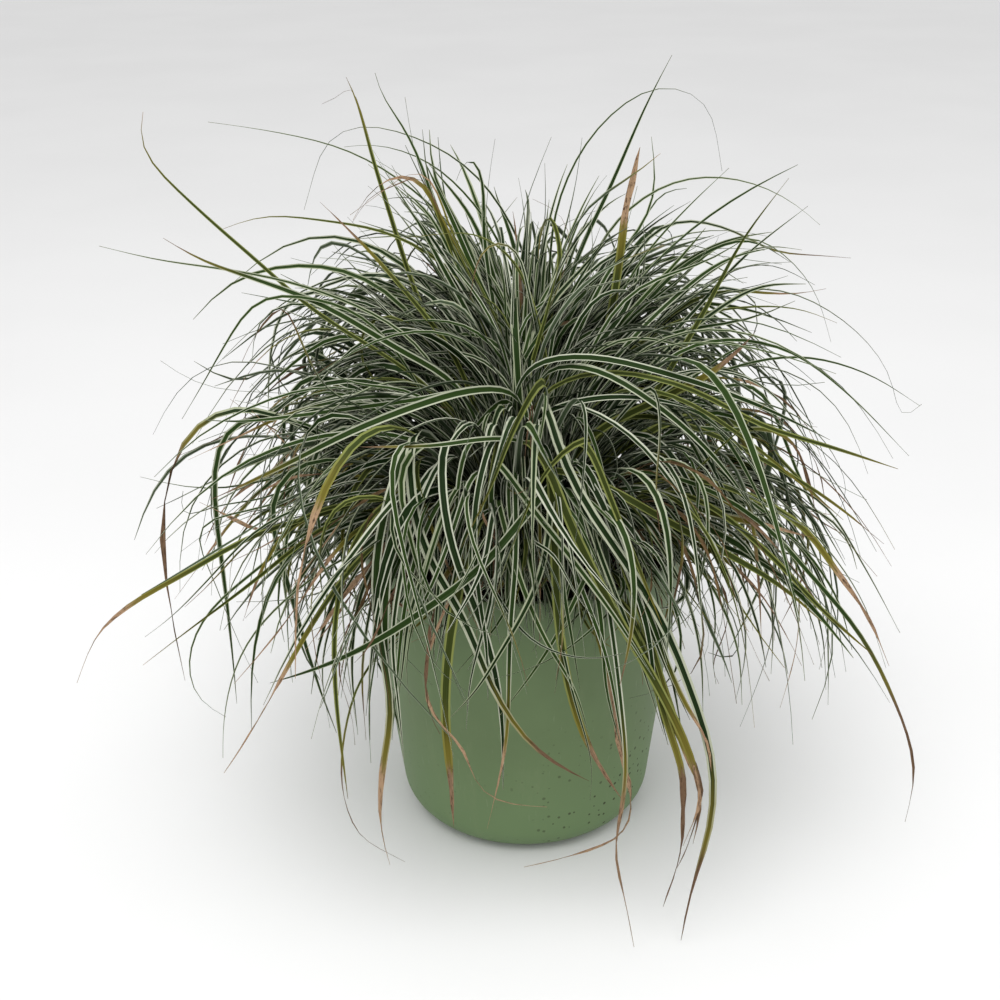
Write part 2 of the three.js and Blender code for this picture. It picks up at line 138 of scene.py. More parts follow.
class Flow:
    """A value, colour or vector inside a material. Sums and products of values add Math nodes."""

    def __init__(self, tree, socket=None):
        self.tree = tree
        self.socket = socket

    def node(self, kind, settings, sockets, output=0):
        """Adds a node of any kind: first its settings, then the values or links of its sockets."""
        made = self.tree.nodes.new(kind)
        for name, value in settings.items():
            if name == "stops":
                ramp = made.color_ramp
                while len(ramp.elements) < len(value):
                    ramp.elements.new(0.5)
                for element, (position, tint) in zip(ramp.elements, value):
                    element.position = position
                    element.color = (*tint, 1)
            else:
                setattr(made, name, value)
        for name, value in sockets.items():
            if isinstance(value, Flow):
                self.tree.links.new(value.socket, made.inputs[name])
            else:
                made.inputs[name].default_value = value
        return Flow(self.tree, made.outputs[output])

    def math(self, operation, *values):
        """One Math node: the operation on the values."""
        return self.node("ShaderNodeMath", {"operation": operation}, dict(enumerate(values)))

    def __add__(self, other):
        return self.math("ADD", self, other)

    def __sub__(self, other):
        return self.math("SUBTRACT", self, other)

    def __rsub__(self, other):
        return self.math("SUBTRACT", other, self)

    def __mul__(self, other):
        return self.math("MULTIPLY", self, other)

    def __truediv__(self, other):
        return self.math("DIVIDE", self, other)

    def __abs__(self):
        return self.math("ABSOLUTE", self)

    def smooth(self, low, high, start=0.0, end=1.0):
        """Runs smoothly from start to end as the value goes from low to high."""
        sockets = {0: self, 1: low, 2: high, 3: start, 4: end}
        return self.node("ShaderNodeMapRange", {"interpolation_type": "SMOOTHSTEP"}, sockets)

    def blend(self, first, second):
        """The first colour where this value is 0 and the second where it is 1."""
        return self.node("ShaderNodeMix", {"data_type": "RGBA"}, {0: self, 6: first, 7: second}, 2)

    def noise(self, scale, detail=3.0, roughness=0.5):
        """Cloudy noise of the vector in this flow, at a number of patches per unit."""
        sockets = {"Vector": self, "Scale": scale, "Detail": detail, "Roughness": roughness}
        return self.node("ShaderNodeTexNoise", {}, sockets)

    def stretched(self, x, y, z):
        """A vector times a factor along each axis, so that a factor below 1 draws a pattern out."""
        return self.node("ShaderNodeVectorMath", {"operation": "MULTIPLY"}, {0: self, 1: (x, y, z)})

    def part(self, axis):
        """One part of a vector or colour: 0, 1 or 2."""
        return self.node("ShaderNodeSeparateXYZ", {}, {0: self}, axis)

    def vector(self, x, y, z):
        """The vector with these three parts."""
        return self.node("ShaderNodeCombineXYZ", {}, {0: x, 1: y, 2: z})

    def place(self):
        """Where a point of the surface lies in its object, in metres."""
        return self.node("ShaderNodeTexCoord", {}, {}, 3)

    def bump(self, relief, strength, distance):
        """The normal tilted by the slope of a relief, of which 1 is this distance (m) high."""
        sockets = {"Strength": strength, "Distance": distance, "Height": relief}
        return self.node("ShaderNodeBump", {}, sockets)

    def feed(self, **links):
        """Links values to sockets of the surface shader."""
        surface = self.tree.nodes["Principled BSDF"]
        for socket, value in links.items():
            self.tree.links.new(value.socket, surface.inputs[socket.replace("_", " ")])


def finish_called(name, **constants):
    """A new material with its constant sockets set, and the flow that its values are made in."""
    material = bpy.data.materials.new(name)
    material.use_nodes = True
    surface = material.node_tree.nodes["Principled BSDF"]
    for socket, value in constants.items():
        surface.inputs[socket.replace("_", " ")].default_value = value
    return material, Flow(material.node_tree)


def colour(red, green, blue):
    """A screen colour, 0 to 255 each, as the linear light that a shader takes."""
    parts = np.array([red, green, blue]) / 255
    linear = np.where(parts <= 0.04045, parts / 12.92, ((parts + 0.055) / 1.055) ** 2.4)
    return (*linear.tolist(), 1.0)


def surface_mesh(name, points, quads, triangles=None):
    """Puts whole arrays of points (mm), four-cornered and three-cornered faces into a mesh."""
    triangles = np.zeros((0, 3), int) if triangles is None else triangles
    mesh = bpy.data.meshes.new(name)
    corners = np.concatenate([quads.ravel(), triangles.ravel()])
    sizes = np.repeat([4, 3], [len(quads), len(triangles)])
    mesh.vertices.add(len(points))
    mesh.vertices.foreach_set("co", (points * MM).astype(np.float32).ravel())
    mesh.loops.add(len(corners))
    mesh.loops.foreach_set("vertex_index", corners.astype(np.int32))
    mesh.polygons.add(len(sizes))
    mesh.polygons.foreach_set("loop_start", (np.cumsum(sizes) - sizes).astype(np.int32))
    mesh.polygons.foreach_set("use_smooth", np.ones(len(sizes), bool))
    mesh.update(calc_edges=True)
    return mesh


def piece(name, mesh, material, body="root"):
    """A new piece in one material, which rides on a body of the frame unless that is None."""
    made = placed(name, mesh)
    mesh.materials.append(material)
    if body:
        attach(made, body)
    return made


def turned(profile, turns):
    """A profile of (radius, height) points from the axis out and back to the axis, carried round it:
    x = radius cos(angle), y = radius sin(angle), z = height. The two ends are single points."""
    inner = np.array(profile[1:-1], float)
    angles = np.arange(turns) * 2 * np.pi / turns
    ring = inner[:, None, 0, None] * np.stack([np.cos(angles), np.sin(angles)], 1)[None]
    rows = np.concatenate([ring, np.broadcast_to(inner[:, 1, None, None], ring.shape[:2] + (1,))], 2)
    count = len(inner)
    poles = np.array([[0, 0, profile[0][1]], [0, 0, profile[-1][1]]], float)
    points = np.concatenate([rows.reshape(-1, 3), poles])
    at = np.arange(count * turns).reshape(count, turns)
    after = np.roll(at, -1, axis=1)
    quads = np.stack([at[:-1], after[:-1], after[1:], at[1:]], -1).reshape(-1, 4)
    first = np.stack([np.full(turns, count * turns), after[0], at[0]], -1)
    last = np.stack([np.full(turns, count * turns + 1), at[-1], after[-1]], -1)
    return points, quads, np.concatenate([first, last])


def round_corner(middle, radius, start, end, steps):
    """Points middle + radius (cos, sin) of an arc from one angle to another, in degrees."""
    angles = np.radians(np.linspace(start, end, steps + 1))
    return [(middle[0] + radius * math.cos(a), middle[1] + radius * math.sin(a)) for a in angles]


def wall_outline(inset, top, steps):
    """Outline of the shell moved inwards by an inset: flat underside, round foot, leaning wall."""
    lean = math.atan2(RIM_RADIUS - FOOT_RADIUS, POT_HEIGHT)
    rounding = FOOT_ROUNDING - inset
    reach = FOOT_RADIUS - inset / math.cos(lean)
    middle = (reach + FOOT_ROUNDING * math.tan(lean) - rounding / math.cos(lean), FOOT_ROUNDING)
    foot = round_corner(middle, rounding, -90, -math.degrees(lean), steps)
    heights = np.linspace(FOOT_ROUNDING + WALL_STARTS, top, WALL_STEPS)
    wall = [(reach + height * math.tan(lean), height) for height in heights]
    return [(0, inset), (middle[0] / 2, inset), *foot, *wall]


lip_foot = POT_HEIGHT - LIP_HEIGHT
lip_middle = RIM_RADIUS + LIP_PROUD - LIP_ROUNDING
lip = [
    (lip_middle, lip_foot + LIP_UNDERSIDE),
    *round_corner((lip_middle, lip_foot + LIP_CORNER), LIP_ROUNDING, -60, 0, 3),
    *round_corner((lip_middle, POT_HEIGHT - LIP_ROUNDING), LIP_ROUNDING, 0, 90, 4),
    *round_corner((RIM_RADIUS - EDGE_INSET, POT_HEIGHT - EDGE_ROUNDING), EDGE_ROUNDING, 90, 160, 3),
]
outside = wall_outline(0, lip_foot, FOOT_STEPS)
inside = wall_outline(WALL, POT_HEIGHT - EDGE_DEPTH, FOOT_STEPS)
shell = turned(outside + lip + inside[::-1], POT_TURNS)


def pot_finish():
    """Matte green plastic: faint clouding, a dusty bloom, specks of dried soil, fine scuffs, and painted
    light that makes the wall paler towards the foot.
    """
    material, flow = finish_called("pot_plastic", Specular_IOR_Level=0.38)
    place = flow.place()
    height = place.part(2)
    side = place.part(0)
    clouds = place.noise(14.0, 4.0, 0.6)
    base = clouds.smooth(0.3, 0.7).blend(colour(90, 110, 71), colour(96, 117, 77))
    dust = place.stretched(1, 1, 0.25).noise(60.0, 5.0, 0.7).smooth(0.5, 0.8)
    bloom = dust * height.smooth(0.17, 0.0, 0.1, 0.3)
    # Painted light: the colour turns paler towards the foot, lifting the shade that falls on the lower
    # wall.
    paler = height.smooth(0.09, 0.0, 0.0, 0.8).blend(base, colour(104, 129, 87))
    dusty = bloom.blend(paler, colour(128, 138, 104))
    scuffs = place.stretched(1.0, 1.0, 0.08).noise(420.0, 2.0, 0.5).smooth(0.66, 0.74) * 0.14
    scuffed = scuffs.blend(dusty, colour(140, 154, 126))
    wobble = place.noise(900.0, 2.0)
    cells = {"Scale": 330.0, "Randomness": 1.0, "Vector": place}
    near = flow.node("ShaderNodeTexVoronoi", {}, cells, 0)
    pick = flow.node("ShaderNodeTexVoronoi", {}, cells, 1).part(0)
    size = pick.smooth(0.7, 1.0, 0.12, 0.4)
    patches = place.noise(26.0, 2.0).smooth(0.36, 0.54) * pick.math("GREATER_THAN", pick, 0.7) * 0.85
    low = height.smooth(0.125, 0.03) * side.smooth(-0.03, 0.05, 0.2, 1.0)
    specks = (near + (wobble - 0.5) * 0.2).smooth(size, size * 0.6) * patches * low
    speckled = specks.blend(scuffed, colour(44, 34, 24))
    grain = place.noise(2600.0, 2.0)
    relief = grain * 0.25 + specks * 1.5 + scuffs * 0.5
    rough = clouds.smooth(0.2, 0.8, 0.50, 0.60) + specks * 0.35 + bloom * 0.2
    flow.feed(Base_Color=speckled, Roughness=rough, Normal=flow.bump(relief, 0.22, 0.0004))
    return material


def without_drains(shell_piece):
    """The shell less six upright pegs on the drain circle."""
    foot, top = DRAIN_SPAN
    peg_outline = [(0, foot), (DRAIN_RADIUS, foot), (DRAIN_RADIUS, top), (0, top)]
    peg_points, peg_quads, peg_ends = turned(peg_outline, DRAIN_TURNS)
    angles = np.arange(DRAINS) * 2 * np.pi / DRAINS
    centres = DRAIN_CIRCLE * np.stack([np.cos(angles), np.sin(angles), 0 * angles], 1)
    points = (centres[:, None] + peg_points[None]).reshape(-1, 3)
    shift = np.arange(DRAINS)[:, None, None] * len(peg_points)
    quads = (peg_quads[None] + shift).reshape(-1, 4)
    ends = (peg_ends[None] + shift).reshape(-1, 3)
    pegs = placed("pegs", surface_mesh("pegs", points, quads, ends))
    cut = shell_piece.modifiers.new("drains", "BOOLEAN")
    cut.object = pegs
    cut.solver = "EXACT"
    bpy.context.view_layer.update()
    evaluated = shell_piece.evaluated_get(bpy.context.evaluated_depsgraph_get())
    shell_piece.data = bpy.data.meshes.new_from_object(evaluated)
    shell_piece.modifiers.clear()
    bpy.data.objects.remove(pegs)


pot = piece("pot_shell", surface_mesh("pot_shell", *shell), pot_finish())
without_drains(pot)
pot.data.set_sharp_from_angle(angle=MOULD_SHARP)
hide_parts("pot")

# ---- Soil --------------------------------------------------------------------------------------
# Dark potting mix of peat and fine bark. It fills the pot to 14 mm under the rim, and loose
# crumbs and slivers of bark lie on top.

CLEARANCE = 0.3
SOIL_TOP = POT_HEIGHT - 14
SOIL_TURNS = 120
SOIL_STEPS = 8
SOIL_RINGS = 46
SOIL_LEVEL_EDGE = 0.8
SOIL_MIDDLE = 1.2
SOIL_WAVES = 44
WAVE_LENGTHS = (34, 4.5)
WAVE_STEEPNESS = 0.022
EDGE_FADES_OVER = 3
CRUMBS = 620
CRUMB_SIZES = (0.7, 2.6)
CRUMB_FLATNESS = (0.4, 0.9)
CRUMB_KNOBS = (0.65, 1.2)
CRUMB_STRETCH = (1, 2.2)
CRUMB_STARTS = 12
CRUMB_STOPS = 4
CRUMB_LIFT = 0.25

chance = np.random.default_rng(5)
wave_turn = chance.uniform(0, 2 * np.pi, SOIL_WAVES)
wave_phase = chance.uniform(0, 2 * np.pi, SOIL_WAVES)
wave_length = np.geomspace(*WAVE_LENGTHS, SOIL_WAVES)


def soil_height(x, y):
    """Height above the soil's mean level: a sum of plane waves of random heading, whose heights are
    all the same share of their lengths."""
    turn = 2 * np.pi / wave_length
    along = x[..., None] * np.cos(wave_turn) + y[..., None] * np.sin(wave_turn)
    return (WAVE_STEEPNESS * wave_length * np.sin(turn * along + wave_phase)).sum(-1)


soil_outline = wall_outline(WALL + CLEARANCE, SOIL_TOP, SOIL_STEPS)
soil_edge = soil_outline[-1][0]
soil_reaches = np.linspace(soil_edge - SOIL_LEVEL_EDGE, SOIL_MIDDLE, SOIL_RINGS)
soil_rings = [(reach, SOIL_TOP) for reach in soil_reaches]
soil_points, soil_quads, soil_ends = turned(soil_outline + soil_rings + [(0, SOIL_TOP)], SOIL_TURNS)
reach = np.hypot(soil_points[:, 0], soil_points[:, 1])
rough_share = np.clip((soil_edge - reach) / EDGE_FADES_OVER, 0, 1) * (soil_points[:, 2] > SOIL_TOP - 1)
soil_points[:, 2] += rough_share * soil_height(soil_points[:, 0], soil_points[:, 1])


def soil_finish():
    """Nearly black peat with paler fibres and reddish bark, dull and crumbly."""
    material, flow = finish_called("soil", Specular_IOR_Level=0.2)
    place = flow.place()
    grain = place.noise(420.0, 5.0, 0.7)
    peat = grain.smooth(0.35, 0.7).blend(colour(26, 20, 15), colour(62, 48, 36))
    pick = flow.node("ShaderNodeTexVoronoi", {}, {"Scale": 300.0, "Vector": place}, 1).part(0)
    bark = pick.smooth(0.80, 0.92).blend(peat, colour(104, 62, 38))
    fibre = place.stretched(1, 0.2, 1).noise(700.0, 2.0).smooth(0.68, 0.74) * 0.5
    tone = fibre.blend(bark, colour(150, 128, 98))
    relief = grain + place.noise(1500.0, 3.0) * 0.4
    rough = grain.smooth(0.2, 0.8, 0.8, 1.0)
    flow.feed(Base_Color=tone, Roughness=rough, Normal=flow.bump(relief, 0.8, 0.0012))
    return material


soil_look = soil_finish()
soil = piece("soil_mix", surface_mesh("soil_mix", soil_points, soil_quads, soil_ends), soil_look)
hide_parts("soil")

# A round lump: the twelve corners of an icosahedron of radius 1, of which neighbours lie 1.05 apart,
# and a face for each three that are neighbours of one another.
golden = (1 + 5 ** 0.5) / 2
lump_points = np.array(
    [(0, a, b) for a in (-1, 1) for b in (-golden, golden)]
    + [(a, b, 0) for a in (-1, 1) for b in (-golden, golden)]
    + [(b, 0, a) for a in (-1, 1) for b in (-golden, golden)], float
) / math.hypot(1, golden)
lump_spans = np.linalg.norm(lump_points[:, None] - lump_points[None], axis=-1)
lump_next = (lump_spans > 0.1) & (lump_spans < 1.2)
lump_faces = np.array([
    (a, b, c) for a in range(12) for b in range(a) for c in range(b)
    if lump_next[a, b] and lump_next[b, c] and lump_next[a, c]
])
lump_normals = np.cross(
    lump_points[lump_faces[:, 1]] - lump_points[lump_faces[:, 0]],
    lump_points[lump_faces[:, 2]] - lump_points[lump_faces[:, 0]],
)
inside_out = (lump_normals * lump_points[lump_faces[:, 0]]).sum(1) < 0
lump_faces[inside_out] = lump_faces[inside_out][:, ::-1]


def lumps(places, sizes, flatness, draws):
    """Knobbly lumps of twenty faces: each corner of a round lump moves in or out at random, and the
    whole is stretched along one level heading and flattened."""
    count = len(places)
    knobs = lump_points[None] * draws.uniform(*CRUMB_KNOBS, (count, 12, 1))
    stretch = draws.uniform(*CRUMB_STRETCH, count)
    shape = sizes[:, None] * np.stack([stretch, np.ones(count), flatness], 1)
    shaped = knobs * shape[:, None]
    turn = draws.uniform(0, 2 * np.pi, count)[:, None]
    across = shaped[..., 0] * np.cos(turn) - shaped[..., 1] * np.sin(turn)
    along = shaped[..., 0] * np.sin(turn) + shaped[..., 1] * np.cos(turn)
    points = places[:, None] + np.stack([across, along, shaped[..., 2]], -1)
    faces = lump_faces[None] + 12 * np.arange(count)[:, None, None]
    return points.reshape(-1, 3), np.zeros((0, 4), int), faces.reshape(-1, 3)


crumb_reach = np.sqrt(chance.uniform(CRUMB_STARTS ** 2, (soil_edge - CRUMB_STOPS) ** 2, CRUMBS))
crumb_turn = chance.uniform(0, 2 * np.pi, CRUMBS)
crumb_x, crumb_y = crumb_reach * np.cos(crumb_turn), crumb_reach * np.sin(crumb_turn)
crumb_sizes = CRUMB_SIZES[0] + (CRUMB_SIZES[1] - CRUMB_SIZES[0]) * chance.uniform(0, 1, CRUMBS) ** 3
crumb_z = SOIL_TOP + soil_height(crumb_x, crumb_y) + CRUMB_LIFT * crumb_sizes
crumb_places = np.stack([crumb_x, crumb_y, crumb_z], 1)
crumb_shapes = lumps(crumb_places, crumb_sizes, chance.uniform(*CRUMB_FLATNESS, CRUMBS), chance)
crumbs = piece("soil_crumbs", surface_mesh("soil_crumbs", *crumb_shapes), soil_look)

# ---- Sedge tufts -------------------------------------------------------------------------------
# Five tufts of evergreen sedge stand side by side in the soil. The blades are long, narrow and
# three-sided, green along the middle and cream along both margins, and grow from a short stool.

TUFT_SECTOR = 72
SECTOR_EDGE = 2
UP = np.array([0.0, 0.0, 1.0])

# The stools, and the dome of old sheaths over them all.
STOOL_RADIUS = 40
STOOL_HEIGHT = 32
ROOT_SINK = 8
LOWEST_ROOT = 4
ROOT_STRAY = 10
ROOTED_WITHIN = 0.9 * STOOL_RADIUS
DOME_RADIUS = STOOL_RADIUS * 0.92
DOME_HEIGHT = 0.8 * STOOL_HEIGHT
DOME_EDGE = 0.98
DOME_FOOT = STOOL_RADIUS * 0.85
DOME_SINK = 6
DOME_STEPS = 12
DOME_TURNS = 100
DOME_RIPPLE = 0.05
DOME_WAVES = (23, 5)
WAVE_SLANT = 0.2

# The rule that places a blade.
BLADE_WIDTHS = (3.4, 6.4)
LIFT_STRAY = 5
HEADING_STRAY = 3
SWAY = 24
SWAY_AT_ARCH = 0.3
BLADE_ROLL = 70
GOLDEN_SHARE = (5 ** 0.5 - 1) / 2
HANGS_FROM = 0.35
HANG_CLEARANCE = 9
ABOVE_THE_SOIL = 60
FLOOR_CLEARANCE = 3
EASINGS = 2
BOX_SHARE, BOX_SPARE, BOX_FLOOR = 0.03, 8, 2

# The shape of a blade, and how its dry end shrinks and twists.
SHEATH_SHARE = 0.35
SHEATH_WIDTH = 0.4
HAIR_WIDTH = 0.28
CHANNEL = 0.15
BLADE_THICKNESS = 0.32
THICK_FROM = 3
THINNEST = 0.35
ROLL_AT_ROOT = 0.4
SHRUNK_TWIST = 1.1
SHRUNK_WAVES = 24
SHRUNK_BEAT = 2.3
SHRUNK_BY = 0.2
DRIES_OVER = 0.1
LEAF_SHARP = math.radians(60)
CURVE_STEPS = 400
FINE_RINGS, FRAME_RINGS, LEAD_RINGS = 18, 19, 32

# The leaf chart has a strip for each look of a blade: young ones first, olive ones from OLIVE on,
# dry-tipped ones from TIPPED on, and mostly dry ones from DEAD on. DRY_FROM gives the share of a
# blade's length at which it turns dry.
STRIPS = 48
STRIP_GUTTER = 0.04
STRIP_END = 0.004
OLIVE, TIPPED, DEAD = 24, 30, 42
WHOLLY_DEAD = DEAD + 2
DRY_FROM = ((OLIVE, 1.0), (TIPPED, 0.96), (DEAD, 0.62), (STRIPS, 0.0))
OLDER_OFTENER = 0.9

# How blades differ: first those that stand out, then those of the frame, then the filling. Curls,
# waves and planes are in radians, rolls and twists in degrees.
SHOWN = 0.55
LEAD_ROLL = 14
LEAD_TWIST = 30
STEEP_SHARE = 0.25
FRAME_SLIMMER = 0.68
FRAME_CURLS = (-1.4, 0.1)
FRAME_WAVE = 0.15
FRAME_WAVES = (1, 2.5)
FRAME_PLANE = 1.2
FRAME_TAPERS = (2.5, 5)
FRAME_TWIST = 90
FRAME_OLD = (0.05, 0.2)
WAVE_STARTS = 6
WISPS = 16
IN_A_BUNDLE = 5
BUNDLE_STRAY = 0.08
FAN_STRAY = 0.09
CURL_STRAY = 0.6
FILLING_WAVES = (0.8, 2.5)
PLANE, PLANE_STRAY = 1.1, 0.4
FILLING_ROLL = 1.6
FILLING_TWIST = 80
OLD_WHEN_LOW = 0.12
FILLED = 0.86

# A tuft's values: "lifts" to "kept" rule the blades of the frame, from the steepest to the lowest,
# and "bundles" to "old" the filling between them. Angles are in degrees, lengths in mm.
SIDE = {
    "blades": 46, "lengths": (190, 280), "sag": 8, "kept": (0.74, 0.9), "rises": (84, 18),
    "lean": 0.25, "widths": (1.8, 4.6), "tapers": (2.6, 7), "old": 0.16,
}
BACK = {
    "blades": 48, "lifts": (84, 26), "lengths": (210, 300), "droops": (34, 66), "sag": 34,
    "kept": (0.78, 1), "bundles": 98, "rises": (84, 26), "bends": (34, 108), "lean": 0.25,
    "widths": (1.8, 4.4), "tapers": (2.6, 7), "hanging": 7, "old": 0.04,
}
TUFTS = [
    {"name": "front", "heading": -90, "seed": 11, "scatter": 711, "blades": 40, "lifts": (84, 46),
     "lengths": (200, 255), "droops": (105, 138), "sag": 0, "kept": (0.66, 0.8), "bundles": 46,
     "shares": (0.36, 1), "sizes": (0.5, 0.74), "stray": (0.7, 1.12), "outer": (0.5, 0.9),
     "rises": (72, 28), "bends": (75, 115), "fans": (0, 1), "lean": 0.6, "widths": (1.6, 3.8),
     "tapers": (3, 8), "hanging": 3, "old": 0.07},
    {**SIDE, "name": "right", "heading": -18, "seed": 23, "scatter": 423, "lifts": (84, 22),
     "droops": (55, 88), "bundles": 19, "shares": (0.5, 1), "sizes": (0.68, 0.9),
     "stray": (0.5, 1.0), "outer": (0.8, 1.04), "bends": (40, 82), "fans": (-0.1, 1), "hanging": 9},
    {**BACK, "name": "back_right", "heading": 54, "seed": 37, "scatter": 337, "shares": (0, 0.34),
     "sizes": (0.86, 1.6), "stray": (0.5, 1.0), "outer": (0.8, 1.04), "fans": (0, 1.04)},
    {**BACK, "name": "back_left", "heading": 126, "seed": 41, "scatter": 1141, "shares": (0, 0.44),
     "sizes": (0.84, 1.48), "stray": (0.5, 1.08), "outer": (0.8, 1.1), "fans": (0.02, 0.97)},
    {**SIDE, "name": "left", "heading": 198, "seed": 59, "scatter": 359, "lifts": (84, 26),
     "droops": (52, 82), "bundles": 28, "shares": (0.36, 1), "sizes": (0.9, 0.8),
     "stray": (0.65, 1.08), "outer": (0.8, 1.12), "bends": (40, 84), "fans": (-0.12, 1.06),
     "hanging": 8},
]
# The three kinds of filling: most of it, the blades that hang, and the wisps. Curls and waves are
# in radians.
FILLING = {"each": IN_A_BUNDLE, "curls": (-1.4, 0.9), "wave": 0.55}
HANGING = {
    "rises": (66, 30), "bends": (95, 128), "shares": (0.3, 1), "sizes": (0.95, 1.1),
    "stray": (0.8, 1.1), "widths": (2.4, 5.4), "each": IN_A_BUNDLE, "curls": (-0.6, 0.8), "wave": 0.4,
}
THIN = {
    "bundles": WISPS, "outer": (0.6, 1.0), "sizes": (0.8, 0.8), "stray": (0.7, 1.1),
    "widths": (0.6, 1.2), "each": 1, "curls": (-3.6, 3.0), "wave": 1.2,
}

